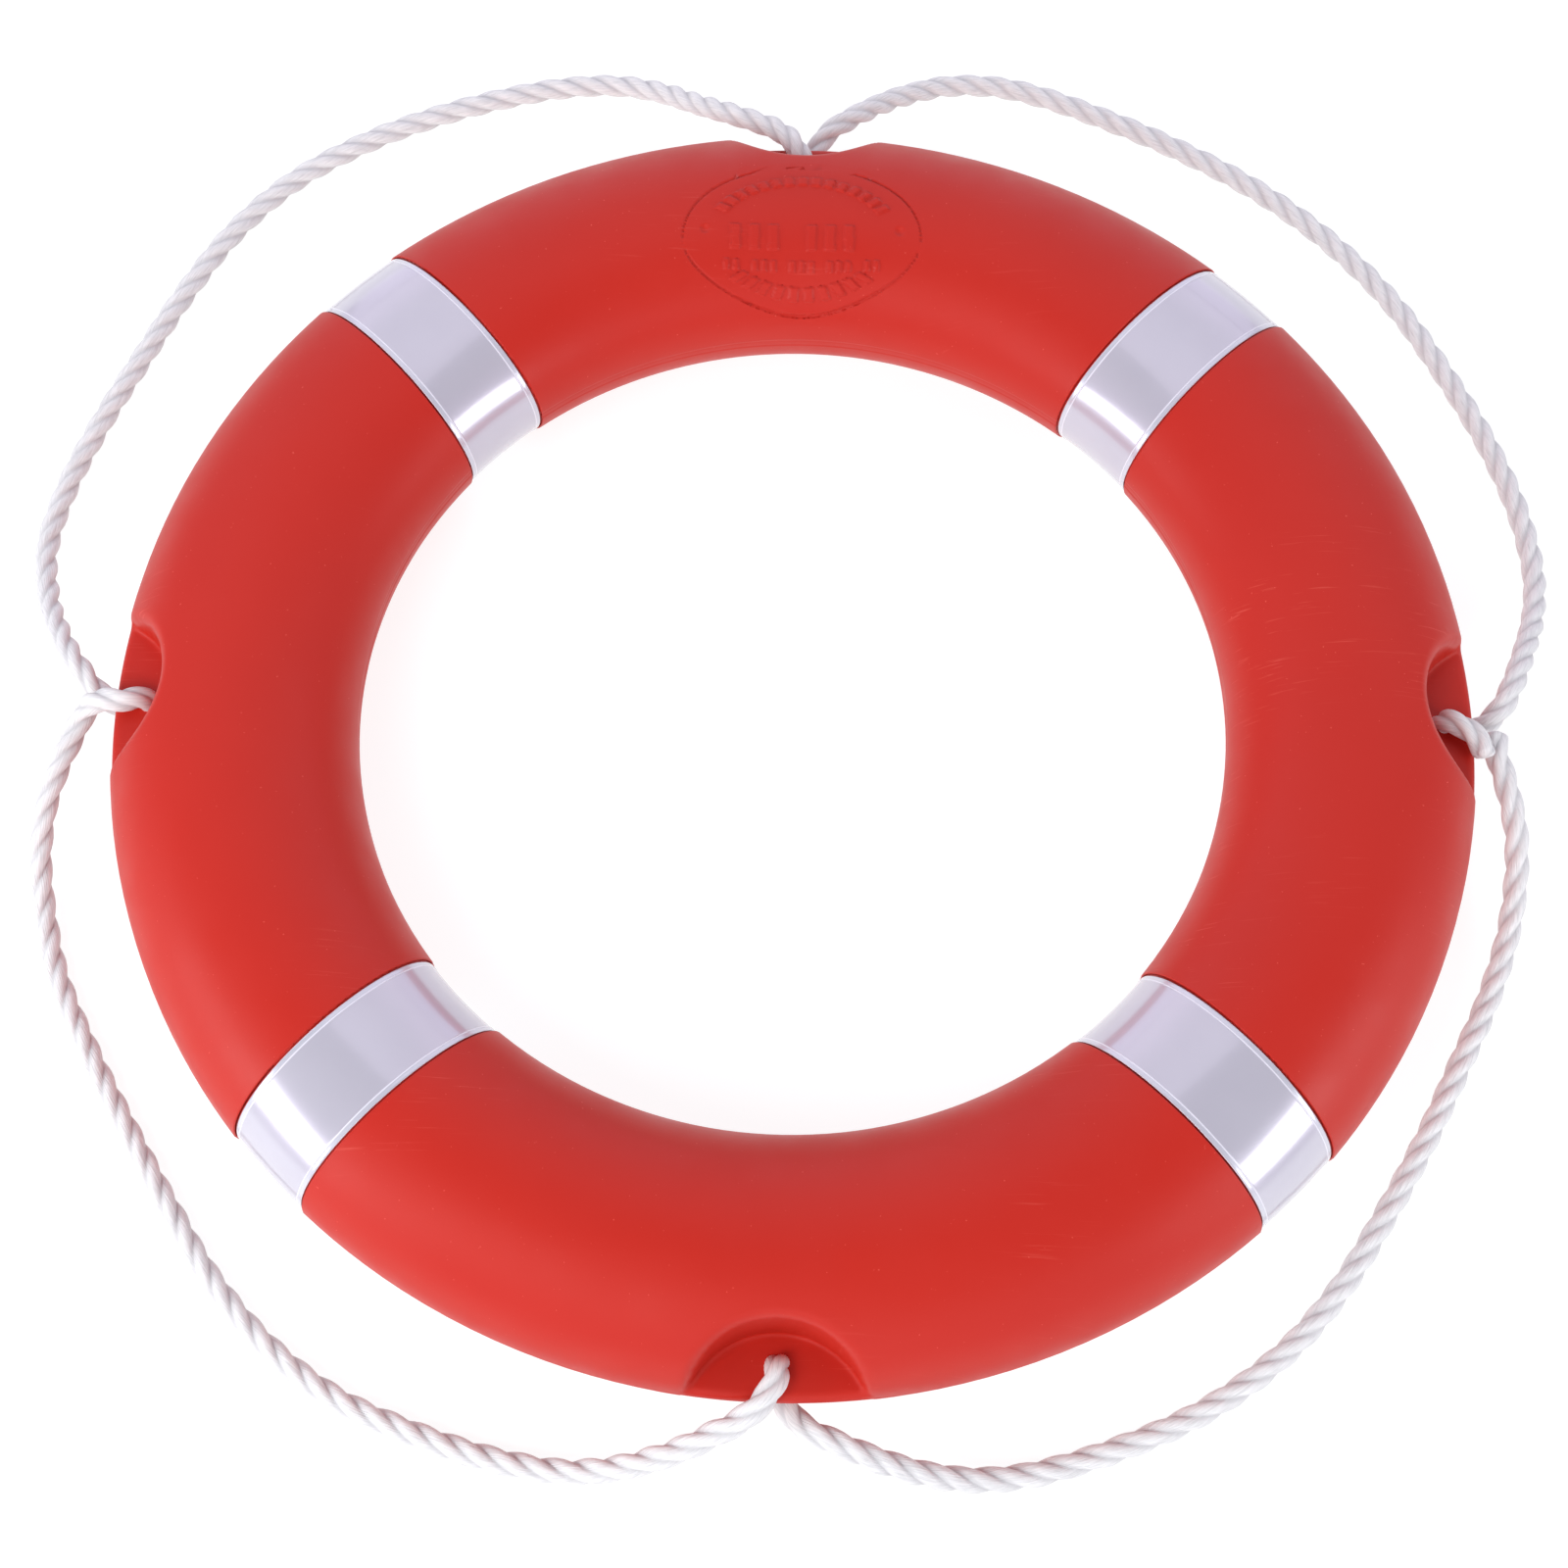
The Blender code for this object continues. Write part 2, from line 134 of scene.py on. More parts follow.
ANCHOR_ZONE_INNER = 0.316
WALL_CUTS = 1
WALL_ZONE_BEFORE = 0.0045
WALL_ZONE_AFTER = 0.0065
WALL_ZONE_DEGREES = 8.6
WALL_ZONE_INNER = 0.3
ROPE_ZONE_RADIUS = 0.0085
ROPE_ZONE_HALF = 0.003
BADGE_CUTS = 9
SURFACE_PASSES = 7
SURFACE_PROBE = 1e-6
LEAST_SLOPE = 0.2
LONGEST_MOVE = 0.002
MERGE_DISTANCE = 1e-6
LEAST_DIVISOR = 1e-9
LEAST_BADGE_DIVISOR = 1e-6

# Reflective film's shape
FILM_ABOVE_GROOVE = 0.00035
FILM_UNDERSIDE = 0.00004
FILM_THICKNESS = 0.00030
FILM_EDGE = 0.0005
FILM_EDGE_DROP = 0.6
FILM_SIDES = 300
FILM_FLAT = 0.0205
FILM_FLAT_LINES = 15
FILM_EDGE_LINES = (0.0240, 0.0246)
BEAD_CENTRE = 0.0222
BEAD_HALF = 0.0005
BEAD_HEIGHT = 0.00022
BEAD_LINES = (-1.6, -1, -0.5, 0, 0.5, 1, 1.6)
FIRST_SEED = 3
WRINKLES = 14
WRINKLE_COUNTS = (3, 26)
WRINKLE_SLANT = 70
WRINKLE_HEIGHT = 0.00008

# Plugs in the outer wall at the back: azimuth in degrees and head radius. A point of the head's profile is
# a share of that radius, metres added to it, and height.
PLUGS = {"filler_plug": (112, 0.009), "vent_plug": (68, 0.007)}
PLUG_SIDES = 96
PLUG_PROFILE = (
    (1, -0.0006, -0.0032), (1, -0.0002, -0.0011), (1, 0, -0.0009), (1, 0, 0.0002), (1, -0.00006, 0.0004),
    (1, -0.0004, 0.0007), (0.86, 0, 0.0008), (0.80, 0, 0.00055), (0.30, 0, 0.0004), (0.14, 0, 0.0004),
    (0.11, 0, 0.0007), (0.04, 0, 0.0007),
)
PLUG_SHARP_DEGREES = 40

# Grab line: one rope of three strands laid right-handed, from its melted end at the right anchor
# counterclockwise to its spliced end there
ROPE_RADIUS = 0.0065
STRAND_RADIUS = 0.0038
STRAND_OFFSET = ROPE_RADIUS - STRAND_RADIUS
ROPE_LAY = 0.052
STRANDS = 3
ROPE_STEP = 0.0013
ROPE_SIDES = 96
YARNS = 32
YARN_HEIGHT = 0.00014
JOINT_DOME = 0.0058
JOINT_DOME_WIDTH = 0.985
END_ROUNDING = 0.0035
CURVE_SAMPLES = 16
NEARLY_ONE = 0.999
MILLIMETRES = 1000
ANCHOR_NAMES = ("right", "back", "left", "front")
SPAN_NAMES = ("back_right", "back_left", "front_left", "front_right")

# Camera: above the front of the ring, turned a little, with the ring slightly off the middle of the view
CAMERA_HEADING = math.radians(2.0)
CAMERA_TILT = math.radians(22.433)
CAMERA_ROLL = math.radians(0.811)
CAMERA_OFFSET = Vector((-0.00436, -0.03681, 1.37217))
SENSOR = 36
LENS = 59.295

# Studio. A light is its place, target, size, watts, colour and whether the gloss mirrors it.
WHITE = (1, 1, 1)
LIGHTS = {
    "front_softbox": ((0, -2.3, 1.3), (0, 0, 0.05), (2.4, 1.2), 6, WHITE, True),
    "key": ((-1.0, -1.5, 2.0), (0, 0, 0), (1.4, 1.4), 40, WHITE, False),
    "back_diffuser": ((0, 1.07, 1.05), (0, 0.60, -0.50), (3.0, 1.75), 10.5, (0.98, 0.92, 1.05), True),
    "back_rim": ((0, 2.4, 0.45), (0, 0, 0.1), (3.2, 0.9), 6, (0.94, 0.88, 1.08), True),
    "left_softbox": ((-1.2, -0.6, 0.54), (0, -0.35, 0.34), (0.7, 0.52), 5.5, WHITE, True),
    "right_softbox": ((1.2, -0.6, 0.54), (0, -0.35, 0.34), (0.7, 0.52), 5.0, WHITE, True),
}
HORIZON = (0.42, (0.60, 0.56, 0.66, 1))
OVERHEAD = (0.72, (0.25, 0.26, 0.28, 1))
FLOOR_SIZE = 40
FLOOR_DROP = 0.0002
FLOOR_GREY = (0.26, 0.27, 0.27, 1)
FLOOR_GLOW = 0.84
FLOOR_ROUGHNESS = 0.9
FLOOR_SPECULAR = 0.1

# Shell plastic. A noise's scale is in cycles per metre, and a range is its least and greatest value.
SHELL_SHADES = ((0.48, 0.016, 0.008, 1), (0.52, 0.021, 0.011, 1))
SHELL_MOTTLE_SCALE = (9, 9, 9)
SPECK_SCALE = (620, 620, 620)
SPECK_RANGE = (0.775, 0.80)
SPECK_SHARE = 0.5
SPECK_SHADE = (0.80, 0.16, 0.12, 1)
SCUFF_SCALE = (26, 700, 60)
SCUFF_TURN = (0, 0, 0.7)
SCUFF_RANGE = (0.62, 0.72)
SCUFF_AREA_SCALE = (7, 7, 7)
SCUFF_AREA_RANGE = (0.56, 0.70)
SCUFF_SHARE = 0.35
SCUFF_SHADE = (0.72, 0.12, 0.09, 1)
SHELL_SHEEN_SCALE = (40, 40, 40)
SHELL_ROUGHNESS = (0.40, 0.50)
SHELL_GRAIN_SCALE = (900, 900, 900)
SHELL_GRAIN = (0.00005, 0.5)
SHELL_SPECULAR = 0.32

# Plug plastic
PLUG_SHADES = ((0.46, 0.020, 0.015, 1), (0.52, 0.027, 0.02, 1))
PLUG_MOTTLE_SCALE = (60, 60, 60)
PLUG_GRAIN_SCALE = (1200, 1200, 1200)
PLUG_GRAIN = (0.00004, 0.4)
PLUG_ROUGHNESS = 0.36

# Reflective film's ground, selvedge and clear beads. A selvedge, bead or rim is a range of distances from
# the band's middle.
FILM_SHADES = ((0.52, 0.50, 0.58, 1), (0.57, 0.55, 0.63, 1))
FILM_GROUND_SCALE = (30, 30, 30)
SELVEDGE = (0.0218, 0.0224)
SELVEDGE_SHADE = (0.60, 0.60, 0.68, 1)
BEAD_FADE = (0.0005, 0.0002)
RIM = (0.0246, 0.0248)
BEAD_SHARE = 0.55
BEAD_SHADE = (0.88, 0.87, 0.95, 1)
FILM_METALLIC = 0.24
FILM_ROUGHNESS = 0.20
FILM_COAT = 0.9
FILM_COAT_ROUGHNESS = 0.06
FILM_CELL_SCALE = (2600, 2600, 2600)
FILM_CELLS = (0.00001, 0.15)

# Rope fibre. Its filaments and yarns are noise over the lengths round the rope and along it.
FILAMENT_SCALE = (2600, 110, 1)
FILAMENT_NOISE_ROUGHNESS = 0.6
FILAMENT_RANGE = (0.3, 0.7)
FILAMENT_SHADES = ((0.60, 0.60, 0.61, 1), (0.90, 0.90, 0.90, 1))
FILAMENT_ROUGHNESS = (0.28, 0.50)
FILAMENT_RELIEF = (0.00035, 0.8)
YARN_SCALE = (900, 60, 1)
YARN_RANGE = (0.4, 0.7)
YARN_SHADE = (0.86, 0.86, 0.86, 1)
YARN_RELIEF = (0.0006, 0.6)
# Painted shade: the hollows between the rope's strands are painted a greyer colour, standing in for the shade
# the strands cast on each other.
HOLLOW_PAINTED_SHADE_SHARE = 0.6
HOLLOW_PAINTED_SHADE = (0.58, 0.57, 0.59, 1)
ROPE_SUBSURFACE = 0.15
ROPE_SUBSURFACE_RADIUS = (0.003, 0.003, 0.003)
ROPE_SUBSURFACE_SCALE = 0.5

# Foam
FOAM_CELLS_PER_METRE = 900
FOAM_SHADES = ((0.78, 0.66, 0.42, 1), (0.66, 0.53, 0.31, 1))
FOAM_RELIEF = (0.0004, 0.8)
FOAM_ROUGHNESS = 0.9

# How many finer layers a noise has, and the middle of its values
COARSE_DETAIL = 3
FINE_DETAIL = 2
SPECK_DETAIL = 1
CELL_DETAIL = 0
MIDDLE_RANGE = (0.3, 0.7)

# The turns through the webs. A point is millimetres out from the ring's axis, millimetres on round the
# ring and height in millimetres. The free spans start and end at the turns' last and first points.
TURN_ROUTES = {
    "right": [
        (362.5, -22.5, 61.4), (361.6, -17, 62), (358.6, -11.5, 62.6), (353.5, -6.3, 62.9),
        (347.5, -2.2, 61.6), (343.6, -0.2, 57), (342.9, 0, 51), (343.6, 0.1, 45), (347.5, 0.5, 40.6),
        (354, 1, 38.4), (361, 2.2, 38.3), (367.6, 4.8, 39.3), (373.2, 8.8, 40.8), (378, 14, 42.2),
        (382, 20.2, 43),
    ],
    "back": [
        (383, -18, 43.8), (378, -12.4, 42.8), (371.8, -8, 41.2), (364.4, -4.8, 39.2), (356, -2.2, 38.3),
        (348.5, -0.8, 40), (343.8, -0.2, 45), (342.9, 0, 51), (343.6, 0.3, 57), (347.3, 1.6, 61.6),
        (353.2, 4.4, 62.8), (360.4, 8.6, 62.3), (368, 14.8, 59.3), (374.6, 21.8, 55.6), (379, 28.5, 53),
    ],
    "left": [
        (382.2, -19.8, 43.4), (377.4, -13.6, 42.6), (371.4, -8.6, 41), (364.4, -5, 39.2), (356, -2.2, 38.3),
        (348.5, -0.8, 40), (343.8, -0.2, 45), (342.9, 0, 51), (343.6, 0.6, 57), (347.6, 2.2, 61.6),
        (354.5, 3.6, 63), (362.5, 3.2, 62), (369.5, 3, 58.4), (374.6, 4.8, 53.6), (378.6, 10, 49.6),
        (382, 17, 47),
    ],
    "front": [
        (373.8, -26.5, 51.8), (371, -19.6, 55.4), (366.5, -12.4, 59.6), (360.4, -6, 62.4),
        (353.5, -1.6, 62.9), (347.3, -0.1, 61.6), (343.6, 0, 57), (342.9, 0, 51), (343.8, 0.2, 45),
        (348.5, 0.8, 40), (355, 2.8, 38.3), (361.6, 6, 38.6), (367, 10.2, 39.9), (370.8, 15, 41.5),
        (373.4, 20.2, 42.6),
    ],
}
SPLICE_ROUTE = [
    (375.5, -26, 47), (373.4, -19.5, 48.4), (372.2, -13, 49.8), (372, -7, 51), (372.4, -2.5, 51.8),
]

# The free spans between the turns, lying on z = 0. A point is degrees on from the first anchor, radius in
# millimetres and height in millimetres.
SPAN_ROUTES = {
    "back_right": [
        (5.7, 393, 37.6), (8.4, 404, 28), (11.2, 416, 17), (15, 428, 9),
        (20, 436, 6.6), (26, 441, 6.6), (33, 446, 6.6), (40, 453, 6.6), (47, 457, 6.6),
        (54, 458, 6.6), (61, 457, 6.6), (67, 457, 6.6), (72, 458, 6.6), (75.5, 456, 7.5),
        (79, 446, 12), (81.8, 428.5, 21.5), (84, 410, 32.5), (85.8, 394.5, 40.4),
    ],
    "back_left": [
        (5.7, 387.5, 49.2), (7.4, 398.5, 42), (9.3, 415, 29.5), (11.5, 435, 16.5), (14.5, 452, 8),
        (18, 460, 6.6), (22, 465, 6.6), (28, 471, 6.6), (34, 476, 6.6), (40, 478, 6.6),
        (46, 473, 6.6), (52, 463, 6.6), (58, 454, 6.6), (64, 449, 6.6), (70, 445, 7),
        (75, 438, 10), (79.5, 422, 20), (82.5, 407.5, 31), (85.1, 394, 39.6),
    ],
    "front_left": [
        (4.8, 390.5, 42), (7.8, 400, 33), (11.2, 407, 20), (15, 410, 9),
        (20, 410, 6.6), (27, 406, 6.6), (34, 405, 6.6), (40, 408, 6.6), (46, 414, 6.6),
        (52, 418, 6.6), (58, 418, 6.6), (64, 413, 6.6), (70, 408, 7), (75, 403, 12),
        (78.6, 396.5, 23), (81.4, 389.5, 34), (83.8, 382.3, 44),
    ],
    "front_right": [
        (5.2, 380.6, 40.4), (7.4, 387, 34.6), (10.2, 394.2, 25.5), (13.9, 401, 14),
        (18, 405, 7), (24, 408, 6.6), (31, 411, 6.6), (38, 410, 6.6), (44, 405, 6.6),
        (50, 398, 6.6), (57, 393, 6.6), (64, 391, 6.6), (70, 393, 7), (75, 393.5, 13),
        (79, 390.5, 26), (82, 386, 36.5), (84.3, 380.6, 43.4),
    ],
}


def polar(azimuth_degrees, radius, height):
    azimuth = math.radians(azimuth_degrees)
    return Vector((radius * math.cos(azimuth), radius * math.sin(azimuth), height))


def add_object(name, data, material=None):
    obj = bpy.data.objects.new(name, data)
    bpy.context.scene.collection.objects.link(obj)
    if material:
        data.materials.append(material)
    return obj


# ---------------------------------------------------------------- camera, lights and floor


def make_camera():
    camera = add_object("camera", bpy.data.cameras.new("camera"))
    camera.data.lens = LENS
    camera.data.sensor_width = SENSOR
    turn = (
        Matrix.Rotation(CAMERA_HEADING, 3, "Z")
        @ Matrix.Rotation(CAMERA_TILT, 3, "X")
        @ Matrix.Rotation(-CAMERA_ROLL, 3, "Z")
    )
    place = turn @ CAMERA_OFFSET + Vector((0, 0, MIDDLE))
    camera.matrix_world = Matrix.Translation(place) @ turn.to_4x4()
    bpy.context.scene.camera = camera


def make_light(name, place, target, size, power, colour, mirrored):
    light = bpy.data.lights.new(name, "AREA")
    light.shape = "RECTANGLE"
    light.size, light.size_y = size
    light.energy = power
    light.color = colour
    lamp = add_object(name, light)
    lamp.location = place
    lamp.visible_camera = False
    lamp.visible_glossy = mirrored
    lamp.rotation_euler = (Vector(target) - Vector(place)).to_track_quat("-Z", "Y").to_euler()


def make_world():
    """Soft pale surroundings, brighter towards the horizon than overhead."""
    world = bpy.data.worlds.new("studio")
    world.use_nodes = True
    nodes, links = world.node_tree.nodes, world.node_tree.links
    coordinates = nodes.new("ShaderNodeTexCoord")
    split = nodes.new("ShaderNodeSeparateXYZ")
    ramp = nodes.new("ShaderNodeValToRGB")
    for element, (position, colour) in zip(ramp.color_ramp.elements, (HORIZON, OVERHEAD)):
        element.position = position
        element.color = colour
    links.new(coordinates.outputs["Generated"], split.inputs[0])
    links.new(split.outputs["Z"], ramp.inputs["Fac"])
    links.new(ramp.outputs["Color"], nodes["Background"].inputs["Color"])
    nodes["Background"].inputs["Strength"].default_value = 1.0
    bpy.context.scene.world = world


def make_floor():
    shape = bmesh.new()
    bmesh.ops.create_grid(shape, x_segments=2, y_segments=2, size=FLOOR_SIZE)
    mesh = bpy.data.meshes.new("floor")
    shape.to_mesh(mesh)
    shape.free()
    material, shader, _ = new_material("floor_pale")
    shader.inputs["Base Color"].default_value = FLOOR_GREY
    shader.inputs["Emission Color"].default_value = (*WHITE, 1)
    shader.inputs["Emission Strength"].default_value = FLOOR_GLOW
    shader.inputs["Roughness"].default_value = FLOOR_ROUGHNESS
    shader.inputs["Specular IOR Level"].default_value = FLOOR_SPECULAR
    floor = add_object("floor", mesh, material)
    floor.location = (0, 0, -FLOOR_DROP)


# ---------------------------------------------------------------- materials


def new_material(name):
    material = bpy.data.materials.new(name)
    material.use_nodes = True
    shader = material.node_tree.nodes["Principled BSDF"]
    return material, shader, material.node_tree


class Nodes:
    """Short calls for building a material's node tree."""

    def __init__(self, tree):
        self.tree = tree
        self.coordinates = tree.nodes.new("ShaderNodeTexCoord")

    def add(self, kind, **values):
        node = self.tree.nodes.new(kind)
        for key, value in values.items():
            setattr(node, key, value)
        return node

    def link(self, source, target):
        self.tree.links.new(source, target)

    def scaled(self, scale, space="Object", rotation=(0, 0, 0)):
        """Coordinates stretched by scale, after a turn."""
        mapping = self.add("ShaderNodeMapping")
        mapping.inputs["Scale"].default_value = scale
        mapping.inputs["Rotation"].default_value = rotation
        self.link(self.coordinates.outputs[space], mapping.inputs["Vector"])
        return mapping.outputs["Vector"]

    def noise(self, vector, detail, roughness=0.5):
        node = self.add("ShaderNodeTexNoise")
        node.inputs["Scale"].default_value = 1
        node.inputs["Detail"].default_value = detail
        node.inputs["Roughness"].default_value = roughness
        self.link(vector, node.inputs["Vector"])
        return node.outputs["Fac"]

    def range(self, value, low, high, to_low=0.0, to_high=1.0):
        node = self.add("ShaderNodeMapRange")
        for key, number in zip(("From Min", "From Max", "To Min", "To Max"), (low, high, to_low, to_high)):
            node.inputs[key].default_value = number
        self.link(value, node.inputs["Value"])
        return node.outputs["Result"]

    def math(self, operation, first, second=0):
        node = self.add("ShaderNodeMath", operation=operation)
        for socket, value in zip(node.inputs, (first, second)):
            if isinstance(value, (int, float)):
                socket.default_value = value
            else:
                self.link(value, socket)
        return node.outputs[0]

    def mix(self, factor, first, second):
        node = self.add("ShaderNodeMix", data_type="RGBA")
        self.link(factor, node.inputs["Factor"])
        for name, value in (("A", first), ("B", second)):
            socket = [item for item in node.inputs if item.name == name and item.type == "RGBA"][0]
            if isinstance(value, tuple):
                socket.default_value = value
            else:
                self.link(value, socket)
        return [item for item in node.outputs if item.type == "RGBA"][0]

    def bump(self, height, distance, strength, normal=None):
        node = self.add("ShaderNodeBump")
        node.inputs["Strength"].default_value = strength
        node.inputs["Distance"].default_value = distance
        self.link(height, node.inputs["Height"])
        if normal:
            self.link(normal, node.inputs["Normal"])
        return node.outputs["Normal"]


def shell_plastic():
    """Moulded red plastic: faint mottling, a fine grain, pale specks and a few scuffs."""
    material, shader, tree = new_material("shell_red_plastic")
    nodes = Nodes(tree)
    mottle = nodes.noise(nodes.scaled(SHELL_MOTTLE_SCALE), COARSE_DETAIL)
    colour = nodes.mix(mottle, *SHELL_SHADES)
    specks = nodes.range(nodes.noise(nodes.scaled(SPECK_SCALE), SPECK_DETAIL), *SPECK_RANGE)
    colour = nodes.mix(nodes.math("MULTIPLY", specks, SPECK_SHARE), colour, SPECK_SHADE)
    streaks = nodes.noise(nodes.scaled(SCUFF_SCALE, rotation=SCUFF_TURN), COARSE_DETAIL)
    areas = nodes.range(nodes.noise(nodes.scaled(SCUFF_AREA_SCALE), FINE_DETAIL), *SCUFF_AREA_RANGE)
    scuffs = nodes.math("MULTIPLY", nodes.range(streaks, *SCUFF_RANGE), areas)
    colour = nodes.mix(nodes.math("MULTIPLY", scuffs, SCUFF_SHARE), colour, SCUFF_SHADE)
    nodes.link(colour, shader.inputs["Base Color"])
    sheen = nodes.noise(nodes.scaled(SHELL_SHEEN_SCALE), COARSE_DETAIL)
    nodes.link(nodes.range(sheen, *MIDDLE_RANGE, *SHELL_ROUGHNESS), shader.inputs["Roughness"])
    grain = nodes.noise(nodes.scaled(SHELL_GRAIN_SCALE), FINE_DETAIL)
    nodes.link(nodes.bump(grain, *SHELL_GRAIN), shader.inputs["Normal"])
    shader.inputs["Specular IOR Level"].default_value = SHELL_SPECULAR
    return material


def plug_plastic():
    material, shader, tree = new_material("plug_red_plastic")
    nodes = Nodes(tree)
    mottle = nodes.noise(nodes.scaled(PLUG_MOTTLE_SCALE), COARSE_DETAIL)
    nodes.link(nodes.mix(mottle, *PLUG_SHADES), shader.inputs["Base Color"])
    grain = nodes.noise(nodes.scaled(PLUG_GRAIN_SCALE), FINE_DETAIL)
    nodes.link(nodes.bump(grain, *PLUG_GRAIN), shader.inputs["Normal"])
    shader.inputs["Roughness"].default_value = PLUG_ROUGHNESS
    return material


def reflective_film():
    """Clear-faced silver film: a lavender grey ground, a paler selvedge and soft wrinkles under the gloss."""
    material, shader, tree = new_material("reflective_film")
    nodes = Nodes(tree)
    split = nodes.add("ShaderNodeSeparateXYZ")
    nodes.link(nodes.coordinates.outputs["UV"], split.inputs[0])
    from_middle = nodes.math("ABSOLUTE", split.outputs["X"])
    selvedge = nodes.range(from_middle, *SELVEDGE)
    ground = nodes.noise(nodes.scaled(FILM_GROUND_SCALE), COARSE_DETAIL)
    colour = nodes.mix(ground, *FILM_SHADES)
    colour = nodes.mix(selvedge, colour, SELVEDGE_SHADE)
    from_bead = nodes.math("ABSOLUTE", nodes.math("SUBTRACT", from_middle, BEAD_CENTRE))
    bead = nodes.range(from_bead, *BEAD_FADE)
    rim = nodes.range(from_middle, *RIM)
    white = nodes.math("MAXIMUM", bead, rim)
    colour = nodes.mix(nodes.math("MULTIPLY", white, BEAD_SHARE), colour, BEAD_SHADE)
    nodes.link(colour, shader.inputs["Base Color"])
    nodes.link(nodes.range(white, 0, 1, FILM_METALLIC, 0), shader.inputs["Metallic"])
    shader.inputs["Roughness"].default_value = FILM_ROUGHNESS
    shader.inputs["Coat Weight"].default_value = FILM_COAT
    shader.inputs["Coat Roughness"].default_value = FILM_COAT_ROUGHNESS
    cells = nodes.noise(nodes.scaled(FILM_CELL_SCALE), CELL_DETAIL)
    nodes.link(nodes.bump(cells, *FILM_CELLS), shader.inputs["Normal"])
    return material


def rope_fibre():
    """White twisted fibre: yarns along the rope, bright filaments, and painted shade greying the hollows
    between the strands.
    """
    material, shader, tree = new_material("rope_white_fibre")
    nodes = Nodes(tree)
    split = nodes.add("ShaderNodeSeparateXYZ")
    nodes.link(nodes.coordinates.outputs["UV"], split.inputs[0])
    around = nodes.math("MULTIPLY", split.outputs["X"], STRANDS / ROPE_RADIUS)
    along = nodes.math("MULTIPLY", split.outputs["Y"], STRANDS * 2 * math.pi / ROPE_LAY)
    crowns = nodes.math("COSINE", nodes.math("SUBTRACT", around, along))
    # Painted shade mask: 1 in the hollows between the strands, 0 on their crowns
    painted_hollow_shade = nodes.range(crowns, 0, -1)
    filaments = nodes.noise(nodes.scaled(FILAMENT_SCALE, "UV"), COARSE_DETAIL, FILAMENT_NOISE_ROUGHNESS)
    yarns = nodes.noise(nodes.scaled(YARN_SCALE, "UV"), FINE_DETAIL)
    colour = nodes.mix(nodes.range(filaments, *FILAMENT_RANGE), *FILAMENT_SHADES)
    colour = nodes.mix(nodes.range(yarns, *YARN_RANGE), colour, YARN_SHADE)
    # Mixes in the painted shade that greys the hollows between the strands
    colour = nodes.mix(nodes.math("MULTIPLY", painted_hollow_shade, HOLLOW_PAINTED_SHADE_SHARE), colour, HOLLOW_PAINTED_SHADE)
    nodes.link(colour, shader.inputs["Base Color"])
    nodes.link(nodes.range(filaments, *FILAMENT_RANGE, *FILAMENT_ROUGHNESS), shader.inputs["Roughness"])
    normal = nodes.bump(filaments, *FILAMENT_RELIEF)
    nodes.link(nodes.bump(yarns, *YARN_RELIEF, normal), shader.inputs["Normal"])
    shader.inputs["Subsurface Weight"].default_value = ROPE_SUBSURFACE
    shader.inputs["Subsurface Radius"].default_value = ROPE_SUBSURFACE_RADIUS
    shader.inputs["Subsurface Scale"].default_value = ROPE_SUBSURFACE_SCALE
    return material


def foam_filling():
    material, shader, tree = new_material("closed_cell_foam")
    nodes = Nodes(tree)
    cells = nodes.add("ShaderNodeTexVoronoi")
    cells.inputs["Scale"].default_value = FOAM_CELLS_PER_METRE
    nodes.link(nodes.coordinates.outputs["Object"], cells.inputs["Vector"])
    nodes.link(nodes.mix(cells.outputs["Distance"], *FOAM_SHADES), shader.inputs["Base Color"])
    nodes.link(nodes.bump(cells.outputs["Distance"], *FOAM_RELIEF), shader.inputs["Normal"])
    shader.inputs["Roughness"].default_value = FOAM_ROUGHNESS
    return material


# ---------------------------------------------------------------- rope


def smooth_curve(points):
    """A centripetal Catmull-Rom curve through the points, sampled finely."""
    first = 2 * points[0] - points[1]
    last = 2 * points[-1] - points[-2]
    controls = [first, *points, last]
    samples = []
    for index in range(len(controls) - 3):
        a, b, c, d = controls[index:index + 4]
        time_b = (b - a).length ** 0.5
        time_c = time_b + (c - b).length ** 0.5
        time_d = time_c + (d - c).length ** 0.5
        for step in range(CURVE_SAMPLES):
            time = time_b + (time_c - time_b) * step / CURVE_SAMPLES
            ab = a.lerp(b, time / time_b)
            bc = b.lerp(c, (time - time_b) / (time_c - time_b))
            cd = c.lerp(d, (time - time_c) / (time_d - time_c))
            abc = ab.lerp(bc, time / time_c)
            bcd = bc.lerp(cd, (time - time_b) / (time_d - time_b))
            samples.append(abc.lerp(bcd, (time - time_b) / (time_c - time_b)))
    samples.append(points[-1])
    return samples


def turn_points(anchor, route):
    """Points of a turn or the splice, turned round to their anchor."""
    place = Matrix.Rotation(math.radians(anchor * QUARTER), 3, "Z")
    return [place @ Vector(point) / MILLIMETRES for point in route]


def line_route():
    """The whole grab line's route, and the numbers of each piece's first and last points on it."""
    route = []
    pieces = {}
    for anchor, span in enumerate(SPAN_NAMES):
        first = len(route)
        route += turn_points(anchor, TURN_ROUTES[ANCHOR_NAMES[anchor]])
        last = len(route) - 1
        pieces["turn_" + ANCHOR_NAMES[anchor]] = (first, last)
        for degrees, radius, height in SPAN_ROUTES[span]:
            route.append(polar(anchor * QUARTER + degrees, radius / MILLIMETRES, height / MILLIMETRES))
        pieces["span_" + span] = (last, len(route))
    first = len(route)
    route += turn_points(0, SPLICE_ROUTE)
    pieces["splice_right"] = (first, len(route) - 1)
    return route, pieces


